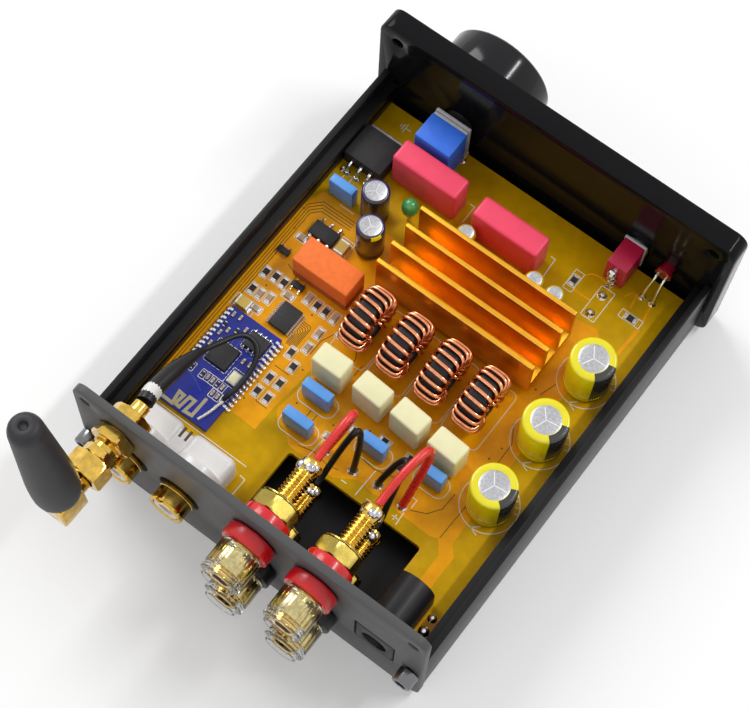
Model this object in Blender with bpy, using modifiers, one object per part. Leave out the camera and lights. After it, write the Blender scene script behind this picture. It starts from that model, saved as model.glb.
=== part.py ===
"""A small two-channel bluetooth amplifier with its lid off: tray, panels, board and rear fittings.

Metres, +Z up. The tray stands on z = 0 with the origin under its middle. The front panel faces -Y,
the rear panel +Y, and +X is the right-hand side seen from the front.
"""

import math

import bmesh
import bpy
from mathutils import Matrix, Vector

# Clearances
GAP = 0.0003  # between pieces that touch
PANEL_CLEAR = 0.0006  # between a panel's face and what turns in front of it

# Case
TRAY_WIDTH = 0.0856
TRAY_LENGTH = 0.1001
WALL_HEIGHT = 0.0215
WALL = 0.0014
FLOOR = 0.0018
RAIL = 0.0015  # height of the ledge under the board
PORT_BLOCK_WIDTH = 0.0034  # from the wall's outer face to the block's inner face
PORT_BLOCK_HEIGHT = 0.0056
PORT_RADIUS = 0.00125
PORT_SLOT = 0.0010
PORT_INSET = 0.0022  # port's centre from the wall's outer face
PANEL_HEIGHT = 0.0382
PANEL_CORNER = 0.0030
FRONT_OVERHANG = 0.0022  # how far the front panel stands out past each wall
FRONT_WIDTH = TRAY_WIDTH + 2 * FRONT_OVERHANG
FRONT_THICK = 0.0053
FRONT_CHAMFER = 0.0005
REAR_OVERHANG = 0.0004
REAR_WIDTH = TRAY_WIDTH + 2 * REAR_OVERHANG
REAR_THICK = 0.0019
LID_HOLE_INSET = (0.0030, 0.0041)  # lid screw holes, from the rear panel's side and top edges

# Screws
SCREW_RADIUS = 0.00095
SCREW_LENGTH = 0.0080  # under the head, past the panel
SCREW_HEAD = 0.0022
SCREW_HEAD_HEIGHT = 0.0032
SCREW_SOCKET = 0.0012

# Board
BOARD_THICK = 0.0016
BOARD_TOP = 0.0119
BOARD_FRONT_GAP = 0.0015
BOARD_REAR_GAP = 0.0006
NOTCH_X = (-0.0268, 0.0070)
NOTCH_DEPTH = 0.0201  # from the tray's rear end
NOTCH_CORNER = 0.0008

# Volume control
KNOB_X = 0.0230
SHAFT_HEIGHT = 0.0065  # above the board
POT_SIZE = (0.0092, 0.0068, 0.0110)
POT_FACE_GAP = 0.0018  # from the front panel's inner face to the pot's plate
POT_PLATE = 0.0016
SHAFT_RADIUS = 0.0025
BUSHING_BORE = SHAFT_RADIUS + GAP
BUSHING_WALL = 0.0007
BUSHING_RADIUS = BUSHING_BORE + BUSHING_WALL
BUSHING_PROUD = 0.0020
SHAFT_PROUD = 0.0085
KNOB_RADIUS = 0.0125
KNOB_LENGTH = 0.0108
KNOB_DISH = 0.0006
KNOB_CHAMFER = 0.0007
KNOB_BACK_CHAMFER = 0.0004
KNOB_HUB_DEPTH = 0.0040
KNOB_MARK = 0.0005  # half width and depth of the line to read
KNOB_SWEEP = math.radians(300)

# Power switch and lamp
SWITCH_X = -0.0242
SWITCH_HEIGHT = 0.0046  # lever axis above the board
SWITCH_BODY = (0.0050, 0.0070, 0.0082)
SWITCH_FRAME = 0.0005
SWITCH_BUSH = 0.0029
SWITCH_BORE = 0.0021
SWITCH_BUSH_PROUD = 0.0024
SWITCH_NUT_AF = 0.0078
SWITCH_NUT = 0.0014
SWITCH_TAG = (0.0008, 0.0022, 0.0010)
SWITCH_TAG_PITCH = 0.0025
LEVER_RADIUS = 0.0011
LEVER_TIP = 0.0013
LEVER_PROUD = 0.0070  # tip from the front panel's outer face
LEVER_TILT = math.radians(12)
LED_X = -0.0325
LED_HEIGHT = 0.0052  # above the board
LED_RADIUS = 0.0015
LED_LENGTH = 0.0053
LED_PITCH = 0.00254
LED_FLANGE = (0.0004, 0.0010)  # how proud it stands, and its thickness
LED_SETBACK = 0.0022  # its back from the front panel's inner face
LED_FEET_Y = -0.0437  # where its leads meet the board

# Amplifier, heatsink and filter coils
CHIP_CENTRE = (-0.0045, -0.0183)
CHIP_SIZE = (0.0140, 0.0062, 0.0011)
HEATSINK_X = (-0.0244, 0.0154)
HEATSINK_Y = (-0.0264, -0.0102)
HEATSINK_HEIGHT = 0.0124
HEATSINK_BASE = 0.0025
FIN = 0.0010
FIN_COUNT = 4
COIL_X = (0.0104, 0.0007, -0.0091, -0.0188)
COIL_Y = -0.0010
CORE_OUTER = 0.0063
CORE_INNER = 0.0039
CORE_WIDTH = 0.0046
COIL_WIRE = 0.00045  # wire radius
COIL_TURNS = 17
COIL_OPEN = math.radians(46)  # bare stretch of the ring at the board
COIL_CORNER = 0.4  # how far the turns are pulled in at the ring's outer corners, in wire radii

# Capacitors and relay
FILM_SIZE = (0.0076, 0.0050, 0.0099)
FILM_PLACES = ((0.0100, 0.0116, 0), (-0.0004, 0.0115, -4), (-0.0100, 0.0115, -5), (-0.0198, 0.0119, -4))
COUPLING_SIZE = (0.0168, 0.0056, 0.0107)
COUPLING_PLACES = ((0.0199, -0.0358), (-0.0015, -0.0353))
RESERVOIR_RADIUS = 0.0050
RESERVOIR_HEIGHT = 0.0125
RESERVOIR_PLACES = ((-0.0327, -0.0205), (-0.0327, -0.0036), (-0.0325, 0.0140))
SUPPLY_RADIUS = 0.00315
SUPPLY_HEIGHT = 0.0112
SUPPLY_PLACES = ((0.0260, -0.0243), (0.0219, -0.0171))
SMALL_RADIUS = 0.0022
SMALL_HEIGHT = 0.0070
SMALL_PLACES = ((0.0061, -0.0300), (-0.0117, -0.0300), (-0.0170, -0.0299))
DROP_RADIUS = 0.0019
DROP_HEIGHT = 0.0090
DROP_PLACE = (0.0191, -0.0275)
BYPASS_HEIGHT = 0.0068
BYPASS_PLACES = (
    ((0.0337, -0.0231), (0.0064, 0.0022)),
    ((0.0092, 0.0175), (0.0070, 0.0024)),
    ((0.0087, 0.0248), (0.0068, 0.0024)),
    ((-0.0068, 0.0195), (0.0062, 0.0024)),
    ((-0.0202, 0.0174), (0.0058, 0.0024)),
)
REGULATOR_SIZE = (0.0098, 0.0088, 0.0044)
REGULATOR_PLACE = (0.0343, -0.0349)
RELAY_SIZE = (0.0143, 0.0067, 0.0078)
RELAY_PLACE = (0.0241, -0.0054)

# Bluetooth module
MODULE_SIZE = (0.0132, 0.0256, 0.0010)
MODULE_PLACE = (0.0298, 0.0245)
MODULE_CHIP = (0.0062, 0.0062, 0.0009)
MODULE_CRYSTAL = (0.0025, 0.0032, 0.0008)
MODULE_MEMORY = (0.0050, 0.0040, 0.0012)
MODULE_CHIP_SHIFT = (0.0012, -0.0026)  # from the module's middle
MODULE_CRYSTAL_SHIFT = (-0.0041, 0.0002)
MODULE_MEMORY_SHIFT = (-0.0030, -0.0087)

# Rear fittings, from the left (seen from behind) to the right
SMA_X = 0.0325
SMA_HEIGHT = 0.0284
SMA_THREAD = 0.0031
NUT_AF = 0.0080
NUT_THICK = 0.0024
WASHER_RADIUS = 0.0046
WASHER = 0.0005
SMA_NECK = 0.0026
SMA_COLLAR = (0.0064, 0.0018)  # small hexagon before the coupling: across flats, thickness
COUPLING_START = 0.0068  # from the rear panel's outer face
COUPLING_LENGTH = 0.0044
COUPLING_TURN = math.radians(10)
ELBOW_NECK = 0.0026
ELBOW_BODY = 0.0034  # half width of the right-angle body
MAST_SETBACK = 0.0169  # mast axis from the rear panel's outer face
MAST_LEAN = math.radians(5.5)
MAST_FOOT = 0.0034  # from the connector's axis
MAST_LENGTH = 0.0366  # from the connector's axis to the tip
MAST_BASE = 0.0050
MAST_TIP = 0.0036
SWIVEL = (math.radians(-70), math.radians(80))
RCA_X = (0.0310, 0.0177)
RCA_HEIGHT = 0.0184
RCA_LOBE = 0.0056
RCA_FLANGE = 0.0035  # depth of the tall part at the panel
RCA_DEPTH = 0.0091
RCA_BODY_HEIGHT = 0.0077
RCA_BODY_WIDTH = 0.0114
RCA_BARREL = 0.00415
RCA_SLEEVE = 0.0004
RCA_PROUD = 0.0046
RCA_PIN_BORE = 0.0017
RCA_HOLE = RCA_BARREL + 0.00085
POST_X = (-0.0019, -0.0172)
POST_HEIGHTS = (0.0282, 0.0128)
POST_COLLAR = 0.0055
POST_OUTER = 0.0031
POST_INNER = 0.0028
POST_BOSS = 0.0038
POST_STUD = 0.0022
POST_CORE = 0.0029  # the socket's tube inside the clear cap
POST_SOCKET = 0.00205
POST_CAP = 0.0047
POST_CAP_LENGTH = 0.0082
POST_CAP_TRAVEL = 0.0050
POST_THREAD_END = 0.0142  # end of the thread, inside the rear panel
POST_PLUG_DEPTH = 0.0070
POST_CUP = 0.0025
POST_CUP_BORE = 0.0015
POST_CUP_LENGTH = 0.0032
POST_NUT_AF = 0.0078
POST_NUT = 0.0030
JACK_X = -0.0315
JACK_HEIGHT = 0.0162
JACK_FACE = (0.0092, 0.0098)
JACK_DEPTH = 0.0125
JACK_BORE = 0.0030
JACK_PIN = 0.0010
JACK_BORE_DEPTH = 0.0090

# Wires: routes between the posts' cups and the board, chosen by eye
SPEAKER_WIRE = {"red": 0.0009, "black": 0.0007}
WIRE_ROUTES = {
    "red_1": [(-1.9, 32.3, 28.2), (-1.9, 29.6, 28.8), (-2.0, 26, 29.9), (-2.1, 22.8, 30.3),
              (-2.0, 20.6, 29.2),
              (-1.6, 20.0, 26), (-0.7, 21.4, 21), (0.4, 23.6, 16), (1.2, 25.2, 12.3)],
    "red_2": [(-17.2, 32.3, 28.2), (-17.2, 29.4, 28.7), (-17.5, 25, 29.8), (-18.0, 20.8, 30.2),
              (-18.5, 17.9, 29.4),
              (-18.8, 17.0, 26.8), (-18.9, 18.6, 22.4), (-18.7, 22, 17), (-18.5, 25.1, 12.3)],
    "black_1": [(-1.9, 32.3, 12.8), (-2.0, 30.4, 13.9), (-2.4, 28.6, 17), (-3.0, 27.0, 21),
                (-3.8, 25.2, 25.6),
                (-4.5, 23.4, 28.4), (-5.0, 22.4, 28.0), (-5.4, 22.5, 25), (-5.7, 23.4, 20), (-5.9, 24.7, 15),
                (-5.9, 25.3, 12.3)],
    "black_2": [(-17.2, 32.3, 12.8), (-17.0, 30.2, 13.9), (-16.6, 27.4, 17), (-16.2, 24, 20.6),
                (-15.8, 21, 22.4),
                (-15.0, 19.9, 22.2), (-13.9, 20.6, 20.5), (-12.8, 22.3, 17), (-12.1, 23.9, 14.4),
                (-11.8, 24.6, 12.3)],
}
COAX_RADIUS = 0.0006
SHRINK_RADIUS = 0.0019
SHRINK_SHARE = (0.14, 0.36)  # the sleeve's full width ends and its taper ends, as shares of the route
COAX_ROUTE = [(32.6, 43.7, 28.3), (33.1, 41, 27.6), (33.3, 36.6, 26), (33.2, 32.3, 24.3), (32.8, 28.1, 22.6),
              (32.3, 25.6, 21.4), (31.2, 22.1, 20), (29.9, 18.8, 19), (28.5, 17.1, 18.2), (26.6, 16.8, 17.4),
              (24.9, 17.8, 16.8), (23.9, 19.8, 16.2), (23.4, 22.6, 15.6), (23.4, 25.7, 15.2),
              (23.9, 28.4, 14.8),
              (24.4, 29.9, 14.2)]

# Facets
ROUND = 24
CAN_ROUND = 16
SMALL_ROUND = 12
FINE = 0.00001
SINK = 0.0005  # how far a soldered part reaches into the board, to join it

# Planes worked out from the sizes
FRONT_IN = -TRAY_LENGTH / 2 - GAP
FRONT_OUT = FRONT_IN - FRONT_THICK
REAR_IN = TRAY_LENGTH / 2 + GAP
REAR_OUT = REAR_IN + REAR_THICK
BOARD_SEAT = BOARD_TOP + GAP
PORT_X = TRAY_WIDTH / 2 - PORT_INSET
PORT_Z = BOARD_TOP + GAP + PORT_BLOCK_HEIGHT / 2
SHAFT_Z = BOARD_TOP + SHAFT_HEIGHT
SWITCH_Z = BOARD_TOP + SWITCH_HEIGHT
LED_Z = BOARD_TOP + LED_HEIGHT
LID_HOLE = (REAR_WIDTH / 2 - LID_HOLE_INSET[0], PANEL_HEIGHT - LID_HOLE_INSET[1])
HEATSINK_FOOT = BOARD_SEAT + CHIP_SIZE[2] + GAP

COLOURS = {
    "black": ((0.012, 0.012, 0.014), 0.3, 0.0),
    "dark_grey": ((0.03, 0.03, 0.035), 0.5, 0.4),
    "board": ((0.75, 0.42, 0.02), 0.4, 0.0),
    "module_blue": ((0.01, 0.03, 0.25), 0.4, 0.0),
    "anodised": ((0.75, 0.35, 0.03), 0.3, 0.9),
    "copper": ((0.72, 0.30, 0.16), 0.25, 0.9),
    "ferrite": ((0.02, 0.02, 0.02), 0.6, 0.0),
    "cream": ((0.85, 0.80, 0.55), 0.4, 0.0),
    "pink": ((0.80, 0.05, 0.12), 0.35, 0.0),
    "yellow": ((0.80, 0.75, 0.02), 0.35, 0.0),
    "orange": ((0.85, 0.22, 0.03), 0.4, 0.0),
    "blue": ((0.05, 0.20, 0.75), 0.4, 0.0),
    "red": ((0.80, 0.03, 0.02), 0.4, 0.0),
    "gold": ((0.80, 0.58, 0.18), 0.2, 1.0),
    "steel": ((0.60, 0.60, 0.62), 0.3, 1.0),
    "white": ((0.85, 0.85, 0.83), 0.4, 0.0),
    "clear": ((0.85, 0.88, 0.90), 0.1, 0.0),
}


def clear_scene():
    for obj in list(bpy.data.objects):
        bpy.data.objects.remove(obj)


def new_collection(name):
    collection = bpy.data.collections.new(name)
    bpy.context.scene.collection.children.link(collection)
    return collection


clear_scene()
PARTS = new_collection("bluetooth_amplifier")
CUTTERS = new_collection("cutters")


def material_for(colour):
    """The named finish, made once."""
    found = bpy.data.materials.get(colour)
    if found:
        return found
    base, roughness, metallic = COLOURS[colour]
    material = bpy.data.materials.new(colour)
    material.use_nodes = True
    shader = material.node_tree.nodes["Principled BSDF"]
    shader.inputs["Base Color"].default_value = (*base, 1)
    shader.inputs["Roughness"].default_value = roughness
    shader.inputs["Metallic"].default_value = metallic
    material.diffuse_color = (*base, 1)
    return material


def place(name, data, colour, location=(0, 0, 0), turn=None):
    """A new object among the parts, or among the cutters when it has no colour."""
    obj = bpy.data.objects.new(name, data)
    (PARTS if colour else CUTTERS).objects.link(obj)
    obj.matrix_world = Matrix.Translation(location) @ (turn.to_4x4() if turn else Matrix.Identity(4))
    if colour:
        data.materials.append(material_for(colour))
    else:
        obj.hide_render = True
        obj.display_type = "WIRE"
    return obj


def smooth(obj, degrees=35):
    obj.data.shade_smooth()
    obj.data.set_sharp_from_angle(angle=math.radians(degrees))
    return obj


def block(name, colour, low, high, bevel=0.0, segments=1):
    """A box between two corners, with all its edges bevelled if asked."""
    low, high = Vector(low), Vector(high)
    mesh = bpy.data.meshes.new(name)
    shape = bmesh.new()
    bmesh.ops.create_cube(shape, size=1, matrix=Matrix.Diagonal((*(high - low), 1)))
    if bevel:
        bmesh.ops.bevel(shape, geom=shape.edges, offset=bevel, segments=segments, affect="EDGES", profile=0.5)
    shape.to_mesh(mesh)
    shape.free()
    return place(name, mesh, colour, (low + high) / 2)


def standing(name, colour, size, centre, foot, bevel=0.0, turn=0.0):
    """A box of the given size that stands on a height, turned in plan by some degrees."""
    width, depth, height = size
    low = (centre[0] - width / 2, centre[1] - depth / 2, foot)
    high = (centre[0] + width / 2, centre[1] + depth / 2, foot + height)
    obj = block(name, colour, low, high, bevel)
    if turn:
        obj.matrix_world = obj.matrix_world @ Matrix.Rotation(math.radians(turn), 4, "Z")
    return obj


AXES = {
    "Z": Matrix.Identity(3),
    "Y": Matrix.Rotation(math.radians(-90), 3, "X"),  # local +Z becomes world +Y
    "-Y": Matrix.Rotation(math.radians(90), 3, "X"),  # local +Z becomes world -Y
    "X": Matrix.Rotation(math.radians(90), 3, "Y"),  # local +Z becomes world +X
}


def bar(name, colour, radius, start, length, axis="Y", sides=ROUND, tip=None):
    """A round bar, cone or prism that begins at start and runs along the axis."""
    mesh = bpy.data.meshes.new(name)
    shape = bmesh.new()
    bmesh.ops.create_cone(
        shape, cap_ends=True, segments=sides, radius1=radius, radius2=radius if tip is None else tip,
        depth=length,
        matrix=Matrix.Translation((0, 0, length / 2)),
    )
    shape.to_mesh(mesh)
    shape.free()
    obj = place(name, mesh, colour, start, AXES[axis])
    return smooth(obj) if colour else obj


def nut(name, colour, across, start, thick, axis="Y", flat_up=True):
    """A hexagonal prism measured across its flats."""
    corner = across / math.sqrt(3)
    obj = bar(name, colour, corner, start, thick, axis, 6)
    if flat_up:
        obj.matrix_world = obj.matrix_world @ Matrix.Rotation(math.radians(30), 4, "Z")
    return obj


def turned(name, colour, profile, start, axis="Y", sides=ROUND):
    """A solid of revolution. The profile is (radius, height), round the section from the top outside."""
    mesh = bpy.data.meshes.new(name)
    points = [(radius, 0, height) for radius, height in profile]
    closed = profile[0][0] > FINE and profile[-1][0] > FINE
    edges = [(i, i + 1) for i in range(len(points) - 1)]
    if closed:
        edges.append((len(points) - 1, 0))
    mesh.from_pydata(points, edges, [])
    obj = place(name, mesh, colour, start, AXES[axis])
    screw = obj.modifiers.new("Turn", "SCREW")
    screw.axis = "Z"
    screw.steps = screw.render_steps = sides
    screw.use_merge_vertices = True
    screw.merge_threshold = FINE
    screw.use_smooth_shade = True
    return obj


def loop_points(curve, points):
    spline = curve.splines.new("POLY")
    spline.points.add(len(points) - 1)
    for target, (x, y) in zip(spline.points, points):
        target.co = (x, y, 0, 1)
    spline.use_cyclic_u = True


def plate(name, colour, loops, thickness, start, axis="Y"):
    """A flat outline with holes, given in its own plane and extruded from start along the axis."""
    curve = bpy.data.curves.new(name, "CURVE")
    curve.dimensions = "2D"
    curve.fill_mode = "BOTH"
    curve.extrude = thickness / 2
    for points in loops:
        loop_points(curve, points)
    turn = AXES[axis]
    obj = place(name + "_outline", curve, None, Vector(start) + turn @ Vector((0, 0, thickness / 2)), turn)
    return solidified(name, obj, colour)


def solidified(name, outline, colour):
    """The curve's mesh as an object of its own, welded where its caps meet its sides."""
    bpy.context.view_layer.update()
    graph = bpy.context.evaluated_depsgraph_get()
    mesh = bpy.data.meshes.new_from_object(outline.evaluated_get(graph))
    mesh.materials.clear()
    weld = bmesh.new()
    weld.from_mesh(mesh)
    bmesh.ops.remove_doubles(weld, verts=weld.verts, dist=FINE)
    bmesh.ops.dissolve_limit(weld, angle_limit=math.radians(0.1), verts=weld.verts, edges=weld.edges)
    bmesh.ops.recalc_face_normals(weld, faces=weld.faces)
    weld.to_mesh(mesh)
    weld.free()
    where = outline.matrix_world.copy()
    bpy.data.objects.remove(outline)
    obj = place(name, mesh, colour)
    obj.matrix_world = where
    return smooth(obj) if colour else obj


def tube(name, colour, points, radius, resolution=2, widths=None):
    """A round wire through the points, with filled ends. Widths are shares of the radius at each point."""
    curve = bpy.data.curves.new(name, "CURVE")
    curve.dimensions = "3D"
    curve.bevel_depth = radius
    curve.bevel_resolution = resolution
    curve.use_fill_caps = True
    spline = curve.splines.new("POLY")
    spline.points.add(len(points) - 1)
    for target, point, width in zip(spline.points, points, widths or [1] * len(points)):
        target.co = (*point, 1)
        target.radius = width
    return place(name, curve, colour)


def mesh_tube(name, colour, points, radius, resolution=2):
    """A wire as a mesh, to be joined to another piece."""
    return solidified(name, tube(name + "_path", None, points, radius, resolution), colour)


def combine(obj, other, operation):
    modifier = obj.modifiers.new(f"{operation.title()} {other.name}", "BOOLEAN")
    modifier.operation = operation
    modifier.solver = "EXACT"
    modifier.object = other
    return obj


def join(obj, *others):
    for other in others:
        combine(obj, other, "UNION")
    return obj


def cut(obj, *others):
    for other in others:
        combine(obj, other, "DIFFERENCE")
    return obj


def arc(centre, radius, start, end, steps):
    """Points from one angle to the other, in degrees, both ends included."""
    angles = [math.radians(start + (end - start) * i / steps) for i in range(steps + 1)]
    return [(centre[0] + radius * math.cos(a), centre[1] + radius * math.sin(a)) for a in angles]


def ring_loop(centre, radius, sides=SMALL_ROUND):
    return arc(centre, radius, 0, 360 - 360 / sides, sides - 1)


def rounded(low, high, radius, steps=3):
    """A rectangle's outline with round corners."""
    (x0, y0), (x1, y1) = low, high
    return (
        arc((x1 - radius, y0 + radius), radius, -90, 0, steps)
        + arc((x1 - radius, y1 - radius), radius, 0, 90, steps)
        + arc((x0 + radius, y1 - radius), radius, 90, 180, steps)
        + arc((x0 + radius, y0 + radius), radius, 180, 270, steps)
    )


def spline_through(route, count):
    """Evenly timed points on a smooth curve through the route's own points, which are in millimetres."""
    knots = [Vector(point) / 1000 for point in route]
    spans = len(knots) - 1
    points = []
    for i in range(count):
        place_on = min(i * spans / (count - 1), spans - 1e-6)
        k = int(place_on)
        t = place_on - k
        before, a, b, after = knots[max(k - 1, 0)], knots[k], knots[k + 1], knots[min(k + 2, spans)]
        points.append(
            0.5 * (2 * a + (b - before) * t + (2 * before - 5 * a + 4 * b - after) * t**2
                   + (3 * a - before - 3 * b + after) * t**3)
        )
    return points


# In a plate drawn for the Y axis the outline's second coordinate points down, so heights are negated.
def upright(points):
    return [(x, -z) for x, z in points]


def build_chassis():
    """The extruded tray: floor, walls, board ledges and the screw ports along them."""
    half = TRAY_WIDTH / 2
    inner = half - WALL
    block_in = half - PORT_BLOCK_WIDTH
    block_foot = BOARD_TOP + GAP
    block_top = block_foot + PORT_BLOCK_HEIGHT
    ledge_top = BOARD_TOP - BOARD_THICK - GAP
    mouth = math.degrees(math.asin(PORT_SLOT / 2 / PORT_RADIUS))
    port = arc((PORT_X, PORT_Z), PORT_RADIUS, 180 - mouth, mouth - 180, 10)
    right = [
        (half, WALL_HEIGHT), (inner, WALL_HEIGHT), (inner, block_top), (block_in, block_top),
        (block_in, PORT_Z + PORT_SLOT / 2), *port, (block_in, PORT_Z - PORT_SLOT / 2),
        (block_in, block_foot), (inner, block_foot), (inner, ledge_top),
        (block_in, ledge_top), (block_in, ledge_top - RAIL), (inner, ledge_top - RAIL), (inner, FLOOR),
    ]
    left = [(-x, z) for x, z in reversed(right)]
    chamfer = WALL / 2
    outline = right + left + [(-half, chamfer), (chamfer - half, 0), (half - chamfer, 0), (half, chamfer)]
    return plate("chassis", "black", [upright(outline)], TRAY_LENGTH, (0, -TRAY_LENGTH / 2, 0))


def panel_blank(name, colour, width, thick, start, loops):
    outline = upright(rounded((-width / 2, 0), (width / 2, PANEL_HEIGHT), PANEL_CORNER))
    return plate(name, colour, [outline, *loops], thick, start)


def build_front_panel():
    """The thick front panel: openings for the knob's bushing, lever and lamp, and four screw holes."""
    loops = [upright(ring_loop((KNOB_X, SHAFT_Z), BUSHING_RADIUS + GAP, 16)),
             upright(ring_loop((SWITCH_X, SWITCH_Z), SWITCH_BUSH + GAP)),
             upright(ring_loop((LED_X, LED_Z), LED_RADIUS + GAP))]
    for side in (-1, 1):
        loops.append(upright(ring_loop((side * PORT_X, PORT_Z), SCREW_RADIUS + GAP)))
        loops.append(upright(ring_loop((side * LID_HOLE[0], LID_HOLE[1]), SCREW_RADIUS + GAP)))
    panel = panel_blank("front_panel", "black", FRONT_WIDTH, FRONT_THICK, (0, FRONT_OUT, 0), loops)
    for side in (-1, 1):
        for x, z in ((PORT_X, PORT_Z), LID_HOLE):
            cut(panel, bar(f"counterbore_{side}_{z:.3f}", None, SCREW_HEAD + GAP,
                           (side * x, FRONT_OUT - GAP, z),
                           SCREW_HEAD_HEIGHT + 2 * GAP, "Y", SMALL_ROUND))
    return panel


def build_rear_panel():
    """The thin rear panel with its openings: aerial, inputs, posts, power jack and screws."""
    loops = [upright(ring_loop((SMA_X, SMA_HEIGHT), SMA_THREAD + GAP))]
    loops += [upright(ring_loop((x, RCA_HEIGHT), RCA_HOLE, 16)) for x in RCA_X]
    loops += [upright(ring_loop((x, z), POST_BOSS + GAP)) for x in POST_X for z in POST_HEIGHTS]
    for side in (-1, 1):
        loops.append(upright(ring_loop((side * PORT_X, PORT_Z), SCREW_RADIUS + GAP)))
        loops.append(upright(ring_loop((side * LID_HOLE[0], LID_HOLE[1]), SCREW_RADIUS + GAP)))
    half = JACK_FACE[0] / 2 + GAP
    jack = rounded((JACK_X - half, BOARD_SEAT - GAP), (JACK_X + half, BOARD_SEAT + JACK_FACE[1] + GAP),
                   2 * GAP, 1)
    loops.append(upright(jack))
    return panel_blank("rear_panel", "dark_grey", REAR_WIDTH, REAR_THICK, (0, REAR_IN, 0), loops)


def build_screw(name, x, face, outward):
    """A socket-head screw that points into the tray. Outward is +1 at the rear, -1 at the front."""
    seat = face + outward * GAP
    axis = "Y" if outward > 0 else "-Y"
    panel = abs(face - (REAR_IN if outward > 0 else FRONT_IN))
    under = panel + SCREW_LENGTH
    top, wall = SCREW_HEAD_HEIGHT, SCREW_HEAD / 5
    profile = [
        (0, top / 2), (SCREW_SOCKET, top / 2), (SCREW_SOCKET, top), (SCREW_HEAD - wall, top),
        (SCREW_HEAD, top - wall),
        (SCREW_HEAD, 0), (SCREW_RADIUS, 0), (SCREW_RADIUS, -under), (0, -under),
    ]
    return turned(name, "steel", profile, (x, seat, PORT_Z), axis, SMALL_ROUND)


def build_board():
    """The main board with its rear notch, and the small parts that are soldered flat to it."""
    half = TRAY_WIDTH / 2 - WALL - GAP
    front, rear = -TRAY_LENGTH / 2 + BOARD_FRONT_GAP, TRAY_LENGTH / 2 - BOARD_REAR_GAP
    notch = TRAY_LENGTH / 2 - NOTCH_DEPTH
    x0, x1 = NOTCH_X
    r = NOTCH_CORNER
    outline = [
        (-half, front), (half, front), (half, rear), (x1, rear),
        *arc((x1 - r, notch + r), r, 0, -90, 2), *arc((x0 + r, notch + r), r, -90, -180, 2),
        (x0, rear), (-half, rear),
    ]
    board = plate("main_board", "board", [outline], BOARD_THICK, (0, 0, BOARD_TOP - BOARD_THICK), "Z")
    sunk = BOARD_TOP - SINK
    for i, (centre, (width, depth)) in enumerate(BYPASS_PLACES, 1):
        join(board, standing(f"bypass_{i}", None, (width, depth, BYPASS_HEIGHT + SINK), centre, sunk, GAP))
    for i, (x, y) in enumerate(SUPPLY_PLACES, 1):
        join(board, bar(f"supply_{i}", None, SUPPLY_RADIUS, (x, y, sunk), SUPPLY_HEIGHT + SINK, "Z", 16))
    for i, (x, y) in enumerate(SMALL_PLACES, 1):
        join(board, bar(f"small_{i}", None, SMALL_RADIUS, (x, y, sunk), SMALL_HEIGHT + SINK, "Z",
                        SMALL_ROUND))
    width, depth, height = REGULATOR_SIZE
    join(board, standing("regulator", None, (width, depth, height + SINK), REGULATOR_PLACE, sunk, GAP))
    drop = [(0, 1), (0.6, 0.93), (1, 0.78), (0.85, 0.6), (0.35, 0.4), (0.3, 0), (0, 0)]
    profile = [(part * DROP_RADIUS, share * (DROP_HEIGHT + SINK)) for part, share in drop]
    join(board, turned("drop_capacitor", None, profile, (*DROP_PLACE, sunk), "Z", 10))
    return board


def build_pot():
    """The volume control: its case, metal plate and threaded bushing through the front panel."""
    plate_face = FRONT_IN + POT_FACE_GAP
    rear = plate_face + POT_PLATE + POT_SIZE[1]
    low = (KNOB_X - POT_SIZE[0] / 2, plate_face + POT_PLATE, BOARD_SEAT)
    pot = block("volume_pot", "blue", low, (KNOB_X + POT_SIZE[0] / 2, rear, BOARD_SEAT + POT_SIZE[2]), GAP)
    face = block("pot_plate", None, (low[0] + GAP, plate_face, BOARD_SEAT),
                 (low[0] + POT_SIZE[0] - GAP, plate_face + POT_PLATE + GAP,
                  BOARD_SEAT + POT_SIZE[2] - 2 * GAP))
    length = plate_face - FRONT_OUT + BUSHING_PROUD + POT_PLATE
    bush = bar("pot_bushing", None, BUSHING_RADIUS, (KNOB_X, plate_face + POT_PLATE, SHAFT_Z), length, "-Y",
               16)
    bore = bar("pot_bore", None, BUSHING_BORE, (KNOB_X, plate_face + POT_PLATE, SHAFT_Z), length + GAP,
               "-Y", 16)
    return cut(join(pot, face, bush), bore)


def build_shaft_and_knob():
    """The control's shaft and the large knob pressed on it, both turned about the same axis."""
    start = FRONT_IN + POT_FACE_GAP + POT_PLATE - GAP
    end = FRONT_OUT - SHAFT_PROUD
    flat = GAP * 2
    turned("pot_shaft", "steel",
           [(0, start - end), (SHAFT_RADIUS - flat, start - end), (SHAFT_RADIUS, start - end - flat),
            (SHAFT_RADIUS, 0),
            (0, 0)], (KNOB_X, start, SHAFT_Z), "-Y", 16)
    back = PANEL_CLEAR
    edge = KNOB_LENGTH + back
    bore = SHAFT_RADIUS + GAP
    recess = KNOB_RADIUS * 0.55
    seat = SHAFT_PROUD + GAP
    profile = [
        (0, edge - KNOB_DISH), (KNOB_RADIUS * 0.86, edge - KNOB_DISH), (KNOB_RADIUS * 0.90, edge),
        (KNOB_RADIUS - KNOB_CHAMFER, edge), (KNOB_RADIUS, edge - KNOB_CHAMFER),
        (KNOB_RADIUS, back + KNOB_BACK_CHAMFER), (KNOB_RADIUS - KNOB_BACK_CHAMFER, back),
        (recess, back), (recess, back + KNOB_HUB_DEPTH), (bore, back + KNOB_HUB_DEPTH), (bore, seat), (0, seat),
    ]
    knob = turned("volume_knob", "black", profile, (KNOB_X, FRONT_OUT, SHAFT_Z), "-Y", 32)
    face = FRONT_OUT - edge
    mark = block("knob_mark", None,
                 (KNOB_X - KNOB_MARK, face - KNOB_DISH, SHAFT_Z + KNOB_RADIUS * 0.45),
                 (KNOB_X + KNOB_MARK, face + KNOB_DISH + KNOB_MARK, SHAFT_Z + KNOB_RADIUS * 0.8))
    return cut(knob, mark)


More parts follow.
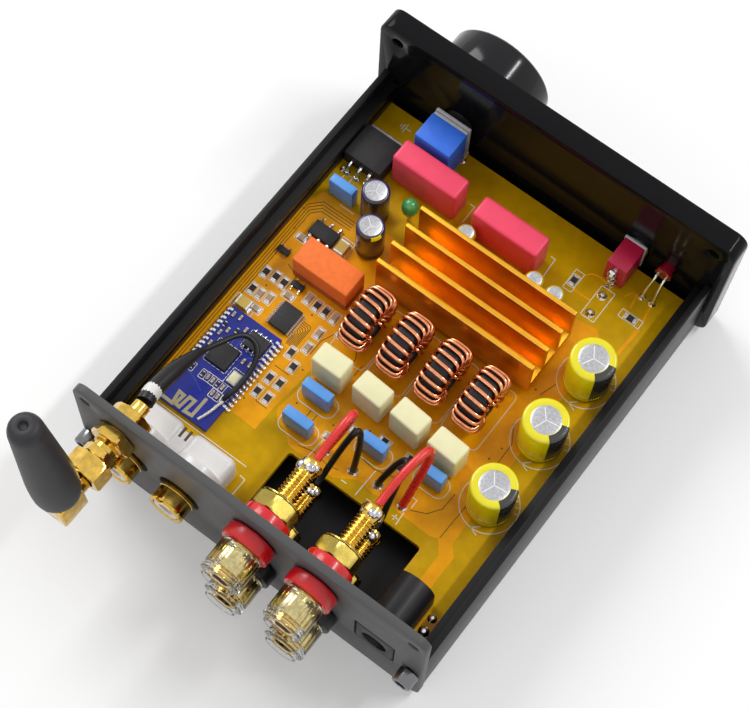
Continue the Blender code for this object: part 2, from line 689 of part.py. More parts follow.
def build_switch():
    """The toggle switch: case, metal frame, threaded bush and nut, and the lever at one end of its throw."""
    width, depth, height = SWITCH_BODY
    face = FRONT_IN + PANEL_CLEAR + SWITCH_FRAME
    foot = SWITCH_Z - height / 2
    body = block("switch_body", "red", (SWITCH_X - width / 2, face, foot),
                 (SWITCH_X + width / 2, face + depth, foot + height), GAP)
    frame = block("switch_frame", None, (SWITCH_X - width / 2 - GAP, face - SWITCH_FRAME, foot),
                  (SWITCH_X + width / 2 + GAP, face + GAP, foot + height + GAP))
    bush_end = FRONT_OUT - SWITCH_BUSH_PROUD
    bush = bar("switch_bush", None, SWITCH_BUSH, (SWITCH_X, face, SWITCH_Z), face - bush_end, "-Y",
               SMALL_ROUND)
    ring = nut("switch_nut", None, SWITCH_NUT_AF, (SWITCH_X, FRONT_OUT - GAP, SWITCH_Z), SWITCH_NUT, "-Y")
    bore = bar("switch_bore", None, SWITCH_BORE, (SWITCH_X, FRONT_IN, SWITCH_Z), FRONT_IN - bush_end + GAP,
               "-Y", SMALL_ROUND)
    join(body, frame, bush, ring)
    tag_width, tag_length, tag_height = SWITCH_TAG
    for i in (-1, 0, 1):
        z = SWITCH_Z + i * SWITCH_TAG_PITCH
        join(body, block(f"switch_tag_{i}", None,
                         (SWITCH_X - tag_width / 2, face + depth - GAP, z - tag_height / 2),
                         (SWITCH_X + tag_width / 2, face + depth + tag_length, z + tag_height / 2)))
    cut(body, bore)
    pivot = FRONT_OUT - PANEL_CLEAR
    reach = LEVER_PROUD - PANEL_CLEAR
    ball = SWITCH_BORE - GAP
    profile = [
        (0, reach), (LEVER_TIP * 0.7, reach), (LEVER_TIP, reach - 0.0008), (LEVER_RADIUS, ball * 1.2),
        (LEVER_RADIUS, ball * 0.8), (ball, 0), (ball * 0.7, -ball * 0.7), (0, -ball),
    ]
    lever = turned("switch_lever", "steel", profile, (SWITCH_X, pivot, SWITCH_Z), "-Y", SMALL_ROUND)
    lever.matrix_world = lever.matrix_world @ Matrix.Rotation(LEVER_TILT, 4, "X")
    return body


def build_led():
    """The power lamp: a domed 3 mm body in the front panel, with its two leads down to the board."""
    back = FRONT_IN + LED_SETBACK
    proud, rim = LED_FLANGE
    flange = LED_RADIUS + proud
    dome = [(LED_RADIUS * math.cos(a), LED_LENGTH - LED_RADIUS + LED_RADIUS * math.sin(a))
            for a in (math.radians(step) for step in (90, 60, 30, 0))]
    dome[0] = (0, LED_LENGTH)
    lamp = turned("led", "red", [*dome, (LED_RADIUS, rim), (flange, rim), (flange, 0), (0, 0)],
                  (LED_X, back, LED_Z), "-Y", SMALL_ROUND)
    for side in (-1, 1):
        x = LED_X + side * LED_PITCH / 2
        inner = LED_X + side * LED_PITCH * 0.4
        route = [(inner, back - 0.0005, LED_Z), (inner, back + 0.0008, LED_Z),
                 (x, LED_FEET_Y, BOARD_SEAT + 0.0006),
                 (x, LED_FEET_Y, BOARD_SEAT)]
        join(lamp, mesh_tube(f"led_lead_{side}", None, route, 0.00028, 1))
    return lamp


def build_heatsink():
    """The finned heatsink on the amplifier chip: one extrusion, with its fins along the board's width."""
    y0, y1 = HEATSINK_Y
    pitch = (y1 - y0 - FIN) / (FIN_COUNT - 1)
    points = [(y0, 0), (y1, 0)]
    for i in reversed(range(FIN_COUNT)):
        left = y0 + i * pitch
        points += [(left + FIN, HEATSINK_HEIGHT), (left, HEATSINK_HEIGHT)]
        if i:
            points += [(left, HEATSINK_BASE), (left - pitch + FIN, HEATSINK_BASE)]
    outline = [(-z, y) for y, z in points]
    return plate("heatsink", "anodised", [outline], HEATSINK_X[1] - HEATSINK_X[0],
                 (HEATSINK_X[0], 0, HEATSINK_FOOT), "X")


def coil_turn_path(height):
    """The winding's own line: a helix of rounded turns along the ring, open at the board, with two leads."""
    clear = COIL_WIRE + GAP
    outer, inner = CORE_OUTER + clear, CORE_INNER - clear
    side = CORE_WIDTH / 2 + clear
    corner = COIL_WIRE * COIL_CORNER
    section = [(outer, corner - side), (outer, side - corner), (inner, side), (inner, -side)]
    steps = len(section)
    total = COIL_TURNS * steps
    sweep = 2 * math.pi - COIL_OPEN
    points = []
    for i in range(total + 1):
        angle = -math.pi / 2 + COIL_OPEN / 2 + sweep * i / total
        radius, across = section[i % steps]
        points.append((across, radius * math.cos(angle), height + radius * math.sin(angle)))
    foot = BOARD_SEAT
    first, last = points[0], points[-1]
    return [(first[0], first[1], foot)] + points + [(last[0], last[1] - COIL_WIRE, foot)]


def build_coils():
    """Four ring cores, each wound with one layer of bare-looking copper and standing on its leads."""
    low_angle = COIL_OPEN / 2
    ring_outer = CORE_OUTER + GAP + 2 * COIL_WIRE
    height = BOARD_SEAT + GAP + max(ring_outer * math.cos(low_angle), CORE_OUTER + GAP)
    half = CORE_WIDTH / 2
    soft = 0.0006
    profile = [
        (CORE_OUTER - soft, half), (CORE_OUTER, half - soft), (CORE_OUTER, soft - half),
        (CORE_OUTER - soft, -half),
        (CORE_INNER, -half), (CORE_INNER, half),
    ]
    path = coil_turn_path(height)
    for i, x in enumerate(COIL_X, 1):
        turned(f"toroid_core_{i}", "ferrite", profile, (x, COIL_Y, height), "X", CAN_ROUND)
        winding = tube(f"toroid_winding_{i}", "copper", path, COIL_WIRE, 0)
        winding.location = (x, COIL_Y, 0)


def build_capacitors():
    """The tall capacitors on the board: output film, input coupling and reservoir cans."""
    for i, (x, y, turn) in enumerate(FILM_PLACES, 1):
        standing(f"film_capacitor_{i}", "cream", FILM_SIZE, (x, y), BOARD_SEAT, 0.0005, turn)
    for i, centre in enumerate(COUPLING_PLACES, 1):
        standing(f"coupling_capacitor_{i}", "pink", COUPLING_SIZE, centre, BOARD_SEAT, 0.0006)
    radius, height, groove = RESERVOIR_RADIUS, RESERVOIR_HEIGHT, 0.0003
    profile = [
        (0, height - groove), (radius * 0.72, height - groove), (radius * 0.78, height),
        (radius * 0.9, height),
        (radius, height - 0.0007), (radius, 0.0022), (radius - groove, 0.0017), (radius, 0.0012),
        (radius, 0.0003),
        (radius - groove, 0), (0, 0),
    ]
    for i, (x, y) in enumerate(RESERVOIR_PLACES, 1):
        turned(f"reservoir_capacitor_{i}", "yellow", profile, (x, y, BOARD_SEAT), "Z", CAN_ROUND)


def build_modules():
    """The amplifier chip under the heatsink, the relay and the bluetooth module."""
    standing("amplifier_chip", "black", CHIP_SIZE, CHIP_CENTRE, BOARD_SEAT)
    standing("relay", "orange", RELAY_SIZE, RELAY_PLACE, BOARD_SEAT, GAP)
    module = standing("bluetooth_module", "module_blue", MODULE_SIZE, MODULE_PLACE, BOARD_SEAT)
    top = BOARD_SEAT + MODULE_SIZE[2] - GAP
    parts = [("chip", MODULE_CHIP, MODULE_CHIP_SHIFT), ("crystal", MODULE_CRYSTAL, MODULE_CRYSTAL_SHIFT),
             ("memory", MODULE_MEMORY, MODULE_MEMORY_SHIFT)]
    for name, (width, depth, height), (right, back) in parts:
        centre = (MODULE_PLACE[0] + right, MODULE_PLACE[1] + back)
        join(module, standing(f"module_{name}", None, (width, depth, height + GAP), centre, top))


def build_inputs():
    """The double phono socket: a moulded housing with two lobes, and a plated sleeve round each barrel."""
    front = REAR_IN - 0.0013
    foot = BOARD_SEAT + GAP
    low_x, high_x = min(RCA_X), max(RCA_X)
    outline = [
        (low_x - RCA_LOBE, foot), *arc((low_x, RCA_HEIGHT), RCA_LOBE, 180, -10, 9),
        *arc((high_x, RCA_HEIGHT), RCA_LOBE, 190, 0, 9), (high_x + RCA_LOBE, foot),
    ]
    housing = plate("rca_housing", "white", [upright(outline)], RCA_FLANGE, (0, front - RCA_FLANGE, 0))
    depth = RCA_DEPTH
    half = RCA_BODY_WIDTH / 2
    for i, x in enumerate(RCA_X, 1):
        low = (x - half, front - depth, BOARD_SEAT)
        high = (x + half, front - RCA_FLANGE / 2, BOARD_SEAT + RCA_BODY_HEIGHT)
        join(housing, block(f"rca_body_{i}", None, low, high, RCA_BODY_HEIGHT / 5, 2))
    tip = REAR_OUT + RCA_PROUD
    core = RCA_BARREL - RCA_SLEEVE - GAP
    for i, x in enumerate(RCA_X, 1):
        barrel = bar(f"rca_core_{i}", None, core, (x, front - depth / 4, RCA_HEIGHT),
                     tip - front + depth / 4, "Y", 14)
        join(housing, barrel)
    for i, x in enumerate(RCA_X, 1):
        cut(housing, bar(f"rca_bore_{i}", None, RCA_PIN_BORE, (x, front - depth / 2, RCA_HEIGHT),
                         tip - front + depth, "Y", SMALL_ROUND))
        start = front + GAP
        inner, outer = RCA_BARREL - RCA_SLEEVE, RCA_BARREL
        length = tip - start
        profile = [(inner, length), (outer - GAP, length), (outer, length - GAP), (outer, 0), (inner, 0)]
        turned(f"rca_sleeve_{i}", "gold", profile, (x, start, RCA_HEIGHT), "Y", 16)


def post_insulator_profile():
    """Section of a post's insulator: outer collar, boss through the panel and inner collar, bored."""
    bore = POST_STUD + GAP
    outer = POST_COLLAR
    edge = 0.0004
    a = REAR_OUT - REAR_IN + GAP
    top = a + POST_OUTER
    low = -GAP - POST_INNER
    return [
        (bore, top), (outer - edge, top), (outer, top - edge), (outer, a), (POST_BOSS, a), (POST_BOSS, -GAP),
        (outer - edge, -GAP), (outer - edge, low), (bore, low),
    ]


def build_posts():
    """Four binding posts: insulating collars, a stud with its nut and solder cup, and a clear cap."""
    places = [(x, z) for z in POST_HEIGHTS for x in POST_X]
    for i, (x, z) in enumerate(places, 1):
        colour = "red" if z == POST_HEIGHTS[0] else "black"
        turned(f"post_insulator_{i}", colour, post_insulator_profile(), (x, REAR_IN, z), "Y", 16)
        collar_end = REAR_OUT + GAP + POST_OUTER
        cap_start = collar_end + GAP
        bore = POST_CORE + GAP
        length = POST_CAP_LENGTH
        rim = POST_CAP * 0.9
        profile = [
            (bore, length), (rim, length), (POST_CAP, length - 0.0005), (POST_CAP, 0.0016), (rim, 0.0010),
            (rim, 0),
            (bore, 0),
        ]
        turned(f"post_cap_{i}", "clear", profile, (x, cap_start, z), "Y", 12)
        build_stud(f"post_stud_{i}", x, z, cap_start + length - 0.0010)


def build_stud(name, x, z, tip):
    """A threaded stud from the cap's mouth to its solder cup, with its nut on the inner collar."""
    nut_start = REAR_IN - GAP - POST_INNER - GAP
    thread_end = REAR_IN - POST_THREAD_END
    cup_end = thread_end - POST_CUP_LENGTH
    length = tip - cup_end
    cup = POST_CUP_LENGTH
    floor, core_foot = length - POST_PLUG_DEPTH, REAR_OUT + 2 * GAP + POST_OUTER - cup_end
    profile = [
        (0, floor), (POST_SOCKET, floor), (POST_SOCKET, length), (POST_CORE - GAP, length),
        (POST_CORE, length - GAP),
        (POST_CORE, core_foot), (POST_STUD, core_foot), (POST_STUD, cup + GAP), (POST_CUP, cup),
        (POST_CUP, 0), (POST_CUP_BORE, 0), (POST_CUP_BORE, cup * 0.6),
        (0, cup * 0.6),
    ]
    stud = turned(name, "gold", profile, (x, cup_end, z), "Y", SMALL_ROUND)
    hexagon = nut(name + "_nut", None, POST_NUT_AF, (x, nut_start - POST_NUT, z), POST_NUT, "Y", False)
    return join(stud, hexagon)


def build_aerial():
    """The threaded aerial connector with its nuts, the coupling nut, and the right-angle aerial on it."""
    axis = (SMA_X, SMA_HEIGHT)

    def ring(name, radius, start, end, tip=None):
        return bar(name, None, radius, (axis[0], start, axis[1]), end - start, "Y", 16, tip)

    inner_end = REAR_IN - GAP - WASHER - NUT_THICK - 0.0006
    coupling_at = REAR_OUT + COUPLING_START
    collar_at = coupling_at - GAP - SMA_COLLAR[1]
    nose_end = coupling_at + COUPLING_LENGTH / 2
    outer_end = REAR_OUT + GAP + NUT_THICK + 0.0008
    thread = bar("sma_connector", "gold", SMA_THREAD, (SMA_X, inner_end, SMA_HEIGHT), outer_end - inner_end,
                 "Y", 16)
    washer_at = REAR_IN - GAP - WASHER
    join(
        thread,
        ring("sma_washer", WASHER_RADIUS, washer_at, REAR_IN - GAP),
        nut("sma_inner_nut", None, NUT_AF, (SMA_X, washer_at - NUT_THICK, SMA_HEIGHT), NUT_THICK + GAP / 2),
        nut("sma_outer_nut", None, NUT_AF + GAP, (SMA_X, REAR_OUT + GAP, SMA_HEIGHT), NUT_THICK),
        ring("sma_nose", SMA_NECK, outer_end - GAP, nose_end),
        nut("sma_collar", None, SMA_COLLAR[0], (SMA_X, collar_at, SMA_HEIGHT), SMA_COLLAR[1]),
        ring("sma_stub", SHRINK_RADIUS, inner_end - 0.0022, inner_end + GAP),
    )

    bore = SMA_NECK + GAP
    corner = NUT_AF / math.sqrt(3)
    coupling = nut("coupling_nut", "gold", NUT_AF, (SMA_X, coupling_at, SMA_HEIGHT), COUPLING_LENGTH, "Y",
                   False)
    coupling.matrix_world = coupling.matrix_world @ Matrix.Rotation(COUPLING_TURN, 4, "Z")
    combine(coupling, ring("coupling_cone", corner * 1.04, coupling_at, coupling_at + COUPLING_LENGTH,
                           corner * 0.93),
            "INTERSECT")
    cut(coupling, ring("coupling_bore", bore, coupling_at - GAP, coupling_at + COUPLING_LENGTH + GAP))

    centre = Vector((SMA_X, REAR_OUT + MAST_SETBACK, SMA_HEIGHT))
    lean = Matrix.Translation(centre) @ Matrix.Rotation(MAST_LEAN, 4, "Y")
    elbow_at = nose_end + GAP
    neck = bar("antenna_elbow", "gold", ELBOW_NECK, (SMA_X, elbow_at, SMA_HEIGHT), centre.y - elbow_at, "Y",
               16)
    top = MAST_FOOT - GAP
    riser = standing("elbow_riser", None, (2 * ELBOW_BODY, 2 * ELBOW_BODY, ELBOW_BODY + top), (0, 0), 0, GAP)
    riser.matrix_world = lean @ Matrix.Translation((0, 0, (top - ELBOW_BODY) / 2))
    join(neck, riser)

    tip = MAST_LENGTH
    dimple = MAST_TIP / 4
    foot = MAST_FOOT
    profile = [
        (0, tip - dimple), (MAST_TIP * 0.3, tip - dimple), (MAST_TIP * 0.48, tip),
        (MAST_TIP * 0.76, tip - 0.0005),
        (MAST_TIP * 0.94, tip - 0.0016), (MAST_TIP, tip - 0.0034), (MAST_BASE * 0.97, foot + 0.0110),
        (MAST_BASE, foot + 0.0060), (MAST_BASE * 0.96, foot + 0.0022), (MAST_BASE * 0.86, foot + 0.0006),
        (MAST_BASE * 0.74, foot), (0, foot),
    ]
    mast = turned("antenna_mast", "black", profile, centre, "Z", 20)
    mast.matrix_world = lean


def build_power_jack():
    """The power jack: a square face in the rear panel, a round barrel behind it, its bore and centre pin."""
    half, height = JACK_FACE[0] / 2, JACK_FACE[1]
    front, back = REAR_OUT, REAR_IN - JACK_DEPTH
    face = block("dc_jack", "black", (JACK_X - half, REAR_IN - 0.0030, BOARD_SEAT),
                 (JACK_X + half, front, BOARD_SEAT + height), GAP)
    barrel_radius = half - GAP
    barrel = bar("jack_barrel", None, barrel_radius, (JACK_X, back, BOARD_SEAT + height - barrel_radius),
                 REAR_IN - back - GAP, "Y", ROUND)
    base = block("jack_base", None, (JACK_X - half + GAP, back, BOARD_SEAT),
                 (JACK_X + half - GAP, REAR_IN - GAP, BOARD_SEAT + height - barrel_radius))
    join(face, barrel, base)
    bore = bar("jack_bore", None, JACK_BORE, (JACK_X, front - JACK_BORE_DEPTH, JACK_HEIGHT),
               JACK_BORE_DEPTH + GAP, "Y", 16)
    cut(face, bore)
    return join(face, bar("jack_pin", None, JACK_PIN, (JACK_X, front - JACK_BORE_DEPTH - GAP, JACK_HEIGHT),
                          JACK_BORE_DEPTH - 0.0005, "Y", 8))


def build_wires():
    """The aerial lead on the board's side and the four speaker wires."""
    for name, route in WIRE_ROUTES.items():
        colour = name.split("_")[0]
        tube(f"speaker_wire_{name}", colour, spline_through(route, 2 * len(route)), SPEAKER_WIRE[colour])
    count = 2 * len(COAX_ROUTE)
    sleeve_end, taper_end = SHRINK_SHARE
    widths = []
    for i in range(count):
        along = (i / (count - 1) - sleeve_end) / (taper_end - sleeve_end)
        widths.append(1 + (SHRINK_RADIUS / COAX_RADIUS - 1) * (1 - min(max(along, 0), 1)))
    tube("aerial_coax", "black", spline_through(COAX_ROUTE, count), COAX_RADIUS, 2, widths)


build_chassis()
build_front_panel()
build_rear_panel()
for SIDE, NUMBER in ((1, 1), (-1, 2)):
    build_screw(f"rear_screw_{NUMBER}", SIDE * PORT_X, REAR_OUT, 1)
    build_screw(f"front_screw_{NUMBER}", SIDE * PORT_X, FRONT_OUT + SCREW_HEAD_HEIGHT + GAP, -1)
build_board()
build_pot()
build_shaft_and_knob()
build_switch()
build_led()
build_heatsink()
build_coils()
build_capacitors()
build_modules()
build_inputs()
build_posts()
build_aerial()
build_power_jack()
build_wires()
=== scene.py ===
"""Looks of a small two-channel bluetooth amplifier with its lid off.

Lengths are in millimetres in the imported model's frame: +Z up, the rear panel towards +Y, and +X to the
right seen from the front panel. A Maker scales each piece to metres when it is finished.
"""

import logging
import math
import random
from collections.abc import Iterable, Sequence
from dataclasses import dataclass, field
from enum import Enum

import bmesh
import bpy
from mathutils import Matrix, Vector


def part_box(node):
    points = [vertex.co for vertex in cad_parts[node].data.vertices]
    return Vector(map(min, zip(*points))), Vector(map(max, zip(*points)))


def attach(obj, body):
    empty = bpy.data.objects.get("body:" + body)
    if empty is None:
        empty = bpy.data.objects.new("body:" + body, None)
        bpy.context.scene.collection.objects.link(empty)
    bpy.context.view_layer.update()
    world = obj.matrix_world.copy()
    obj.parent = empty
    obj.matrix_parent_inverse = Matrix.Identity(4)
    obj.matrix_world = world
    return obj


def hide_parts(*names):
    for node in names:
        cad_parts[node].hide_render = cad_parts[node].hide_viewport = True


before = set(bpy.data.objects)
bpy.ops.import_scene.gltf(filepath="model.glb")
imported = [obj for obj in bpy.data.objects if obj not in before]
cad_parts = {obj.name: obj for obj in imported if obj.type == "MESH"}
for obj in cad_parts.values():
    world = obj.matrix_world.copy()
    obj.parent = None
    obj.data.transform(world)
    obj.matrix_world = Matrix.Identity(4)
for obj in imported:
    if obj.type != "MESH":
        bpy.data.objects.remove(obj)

LOG = logging.getLogger("scene")
MM = 0.001

Pair = tuple[float, float]
Triple = tuple[float, float, float]
Colour = tuple[float, float, float]


class Body(Enum):
    """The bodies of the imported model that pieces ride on."""

    CASE = "case"
    KNOB = "knob"
    LEVER = "lever"
    CAP_1 = "cap_1"
    CAP_2 = "cap_2"
    CAP_3 = "cap_3"
    CAP_4 = "cap_4"
    COUPLING = "coupling"
    ANTENNA = "antenna"


class Axis(Enum):
    """The direction in which a turned or extruded shape grows."""

    X = "X"
    Y = "Y"
    FRONT = "-Y"
    Z = "Z"

    def turn(self) -> Matrix:
        """The rotation that takes local +Z to this direction."""
        if self is Axis.X:
            return Matrix.Rotation(math.radians(90), 4, "Y")
        if self is Axis.Y:
            return Matrix.Rotation(math.radians(-90), 4, "X")
        if self is Axis.FRONT:
            return Matrix.Rotation(math.radians(90), 4, "X")
        return Matrix.Identity(4)


class Kind(Enum):
    """What a finish is at heart, which sets how its shader is wired."""

    SOLID = "solid"
    METAL = "metal"
    CLEAR = "clear"


@dataclass(frozen=True)
class Finish:
    """A surface as it would be ordered: colour, gloss, and how both wander over it.

    Attributes:
        name: material name.
        colour: base colour, linear.
        roughness: middle value of the gloss.
        kind: plain, metal or clear.
        drift: how far the colour wanders, as a share of it.
        blotch: size of that wandering, in millimetres.
        relief: height of the fine bumps, in millimetres.
        grain: size of the fine bumps, in millimetres.
        stretch: how much longer the bumps are along X, Y and Z.
        coat: strength of a clear coat.
        glow: share of light that passes just under the surface.
        shine: strength of the plain reflection, 0.5 for most plastics.
    """

    name: str
    colour: Colour
    roughness: float
    kind: Kind = Kind.SOLID
    drift: float = 0.06
    blotch: float = 3.0
    relief: float = 0.004
    grain: float = 0.2
    stretch: Triple = (1, 1, 1)
    coat: float = 0.0
    glow: float = 0.0
    shine: float = 0.5

    def material(self) -> bpy.types.Material:
        """The material of this finish, made once."""
        name = self.name + "_finish"
        found = bpy.data.materials.get(name)
        if found:
            return found
        made = bpy.data.materials.new(name)
        made.use_nodes = True
        nodes, links = made.node_tree.nodes, made.node_tree.links
        shader = nodes["Principled BSDF"]
        shader.inputs["Metallic"].default_value = 1.0 if self.kind is Kind.METAL else 0.0
        shader.inputs["Coat Weight"].default_value = self.coat
        shader.inputs["Coat Roughness"].default_value = 0.08
        shader.inputs["Specular IOR Level"].default_value = self.shine
        if self.kind is Kind.CLEAR:
            shader.inputs["Transmission Weight"].default_value = 1.0
            shader.inputs["IOR"].default_value = 1.36
        if self.glow:
            shader.inputs["Subsurface Weight"].default_value = self.glow
            shader.inputs["Subsurface Radius"].default_value = (0.0012, 0.0008, 0.0006)
        where = nodes.new("ShaderNodeTexCoord")
        self._wander(nodes, links, where, shader)
        self._relief(nodes, links, where, shader)
        return made

    def _wander(self, nodes: bpy.types.Nodes, links: bpy.types.NodeLinks, where: bpy.types.Node,
                shader: bpy.types.Node) -> None:
        """Wires the slow change of colour over the surface.

        Args:
            nodes: the material's nodes.
            links: the material's links.
            where: the node that gives the coordinates.
            shader: the surface's shader.
        """
        slow = nodes.new("ShaderNodeTexNoise")
        slow.inputs["Scale"].default_value = 1 / (self.blotch * MM)
        slow.inputs["Detail"].default_value = 3
        links.new(where.outputs["Object"], slow.inputs["Vector"])
        ramp = nodes.new("ShaderNodeValToRGB")
        low, high = ramp.color_ramp.elements
        low.position, high.position = 0.3, 0.7
        low.color = (*(channel * (1 - self.drift) for channel in self.colour), 1)
        high.color = (*(min(channel * (1 + self.drift), 1) for channel in self.colour), 1)
        links.new(slow.outputs["Fac"], ramp.inputs["Fac"])
        links.new(ramp.outputs["Color"], shader.inputs["Base Color"])

    def _relief(self, nodes: bpy.types.Nodes, links: bpy.types.NodeLinks, where: bpy.types.Node,
                shader: bpy.types.Node) -> None:
        """Wires the fine bumps, and the change of gloss that goes with them.

        Args:
            nodes: the material's nodes.
            links: the material's links.
            where: the node that gives the coordinates.
            shader: the surface's shader.
        """
        mapping = nodes.new("ShaderNodeMapping")
        mapping.inputs["Scale"].default_value = tuple(1 / share for share in self.stretch)
        links.new(where.outputs["Object"], mapping.inputs["Vector"])
        fine = nodes.new("ShaderNodeTexNoise")
        fine.inputs["Scale"].default_value = 1 / (self.grain * MM)
        fine.inputs["Detail"].default_value = 4
        links.new(mapping.outputs["Vector"], fine.inputs["Vector"])
        gloss = nodes.new("ShaderNodeMapRange")
        gloss.inputs["From Min"].default_value = 0.3
        gloss.inputs["From Max"].default_value = 0.7
        gloss.inputs["To Min"].default_value = max(self.roughness * 0.82, 0.02)
        gloss.inputs["To Max"].default_value = min(self.roughness * 1.18, 1)
        links.new(fine.outputs["Fac"], gloss.inputs["Value"])
        links.new(gloss.outputs["Result"], shader.inputs["Roughness"])
        if self.relief:
            bump = nodes.new("ShaderNodeBump")
            bump.inputs["Distance"].default_value = self.relief * MM
            links.new(fine.outputs["Fac"], bump.inputs["Height"])
            links.new(bump.outputs["Normal"], shader.inputs["Normal"])


BLACK_ANODISED = Finish("black_anodised", (0.010, 0.009, 0.010), 0.36, relief=0.003, grain=0.08, shine=0.22,
                        stretch=(1, 12, 1))
BLACK_GLOSS = Finish("black_gloss_panel", (0.006, 0.006, 0.007), 0.14, relief=0.001, grain=0.1, shine=0.09)
GREY_PANEL = Finish("grey_panel", (0.085, 0.083, 0.085), 0.5, drift=0.03, relief=0.006, grain=0.09, shine=0.3)
STEEL = Finish("screw_steel", (0.56, 0.56, 0.58), 0.22, Kind.METAL, relief=0.002)
PLATED = Finish("bright_plate", (0.58, 0.58, 0.60), 0.3, drift=0.1, blotch=1, relief=0.004, shine=0.6)
LEAD = Finish("bright_lead", (0.80, 0.76, 0.62), 0.3, Kind.METAL, drift=0.06, relief=0.003)
# Dark steel for the pot's bushing and the strip between its plates, and painted shade on the walls of the screws'
# hexagonal recesses.
DARK_STEEL_AND_SHADE = Finish("dark_steel_and_shade", (0.05, 0.05, 0.055), 0.35, Kind.METAL)
SCREW_STEEL = Finish("screw_head", (0.20, 0.20, 0.21), 0.2, Kind.METAL, drift=0.1, relief=0.001)
TINNED = Finish("tinned", (0.72, 0.72, 0.74), 0.22, Kind.METAL, drift=0.1, blotch=0.8, relief=0.02, grain=0.5)
SOLDER = Finish("solder_lump", (0.55, 0.55, 0.58), 0.14, Kind.METAL, drift=0.5, blotch=0.9, relief=0.06, grain=1.1)
CAN_TOP = Finish("can_aluminium", (0.46, 0.46, 0.48), 0.34, Kind.METAL, drift=0.2, blotch=0.5, relief=0.01, grain=0.2)
GOLD = Finish("gold_plated", (0.70, 0.45, 0.09), 0.12, Kind.METAL, drift=0.24, blotch=1.8, relief=0.001, grain=1.2)
FLUTED = Finish("fluted_brass", (0.60, 0.50, 0.23), 0.14, Kind.METAL, drift=0.16, blotch=0.9, relief=0.002)
BRASS = Finish("dull_brass", (0.42, 0.32, 0.07), 0.22, Kind.METAL, drift=0.16, blotch=2.5, relief=0.001, grain=1.6)
GOLD_ANODISED = Finish(
    "gold_anodised", (0.78, 0.38, 0.025), 0.32, Kind.METAL, drift=0.10, blotch=4, relief=0.005, grain=0.11,
    stretch=(14, 1, 1),
)
# Bright gold strips laid along the heatsink's fin tops: a painted highlight.
FIN_PAINTED_HIGHLIGHT = Finish("fin_painted_highlight", (0.98, 0.70, 0.20), 0.2, Kind.METAL, drift=0.08, relief=0.002)
COPPER = Finish("enamelled_copper", (0.80, 0.32, 0.16), 0.20, Kind.METAL, drift=0.14, blotch=1.0, coat=0.5)
CORE = Finish("core_coating", (0.016, 0.016, 0.018), 0.5, drift=0.2, blotch=0.6, relief=0.01, shine=0.3)
BOARD_BARE = Finish("mask_on_laminate", (0.66, 0.38, 0.001), 0.34, drift=0.08, blotch=2.5, relief=0.002, shine=0.14)
BOARD_COPPER = Finish("mask_on_copper", (0.98, 0.40, 0.002), 0.28, drift=0.09, blotch=2.2, relief=0.004, shine=0.2)
BOARD_GAP = Finish("etched_gap", (0.20, 0.105, 0.003), 0.4, drift=0.1, relief=0, shine=0.3)
INK = Finish("white_print", (0.86, 0.83, 0.70), 0.6, drift=0.08, blotch=0.4, relief=0)
CREAM = Finish("cream_plastic", (0.88, 0.85, 0.52), 0.45, drift=0.03, relief=0.004, shine=0.35)
PINK = Finish("pink_plastic", (0.92, 0.065, 0.14), 0.36, drift=0.04, relief=0.005, grain=0.3, shine=0.45)
SKY_BLUE = Finish("blue_box_plastic", (0.10, 0.34, 0.82), 0.34, drift=0.05, relief=0.003, coat=0.2)
POT_BLUE = Finish("pot_blue", (0.042, 0.195, 0.92), 0.42, drift=0.06, blotch=1.5, relief=0.01, grain=0.3)
ORANGE = Finish("relay_orange", (0.93, 0.19, 0.032), 0.55, drift=0.07, blotch=1.2, relief=0.008, shine=0.3)
POTTING = Finish("relay_potting", (0.50, 0.10, 0.03), 0.6, drift=0.25, blotch=0.4, relief=0.02, grain=0.25, shine=0.2)
YELLOW_SLEEVE = Finish("yellow_sleeve", (0.86, 0.76, 0.004), 0.2, drift=0.04, relief=0.004, grain=0.6, coat=0.5)
NAVY_SLEEVE = Finish("navy_sleeve", (0.010, 0.012, 0.085), 0.22, drift=0.06, relief=0.004, grain=0.6, coat=0.5)
DULL_YELLOW = Finish("ochre_sleeve", (0.60, 0.42, 0.01), 0.25, drift=0.06, relief=0.004, coat=0.4)
DARK_STRIPE = Finish("sleeve_stripe", (0.03, 0.022, 0.016), 0.22, drift=0.2, blotch=1, relief=0.004, coat=0.4)
# Near-white lines on the cans' aluminium vent scores: a painted highlight.
SCORE_PAINTED_HIGHLIGHT = Finish("vent_score_painted_highlight", (0.86, 0.86, 0.87), 0.5, relief=0)
BLACK_SLEEVE = Finish("black_sleeve", (0.028, 0.028, 0.024), 0.25, relief=0.003, coat=0.4)
GREEN = Finish("green_resin", (0.05, 0.30, 0.08), 0.25, drift=0.12, blotch=1, relief=0.01, grain=0.5, coat=0.5)
RED = Finish("red_plastic", (0.74, 0.008, 0.014), 0.25, drift=0.04, relief=0.002, coat=0.15)
SWITCH_RED = Finish("switch_red", (0.52, 0.008, 0.055), 0.35, drift=0.07, relief=0.004)
RED_LENS = Finish("red_lens", (0.32, 0.005, 0.02), 0.1, drift=0.05, relief=0, coat=0.8, glow=0.2)
BLACK = Finish("black_plastic", (0.010, 0.010, 0.011), 0.36, relief=0.004, shine=0.3)
JACK_BLACK = Finish("jack_plastic", (0.010, 0.009, 0.011), 0.44, relief=0.004, shine=0.3)
RESIN = Finish("chip_resin", (0.024, 0.022, 0.024), 0.5, drift=0.2, blotch=0.5, relief=0.008, grain=0.1, shine=0.3)
WHITE = Finish("white_plastic", (0.80, 0.785, 0.775), 0.3, drift=0.01, relief=0.002, coat=0.2, glow=0.1)
WHITE_SLEEVE = Finish("white_sleeve", (0.80, 0.80, 0.78), 0.4, drift=0.03, relief=0.004)
CLEAR = Finish("clear_plastic", (0.97, 0.98, 0.98), 0.02, Kind.CLEAR, drift=0.01, relief=0.0)
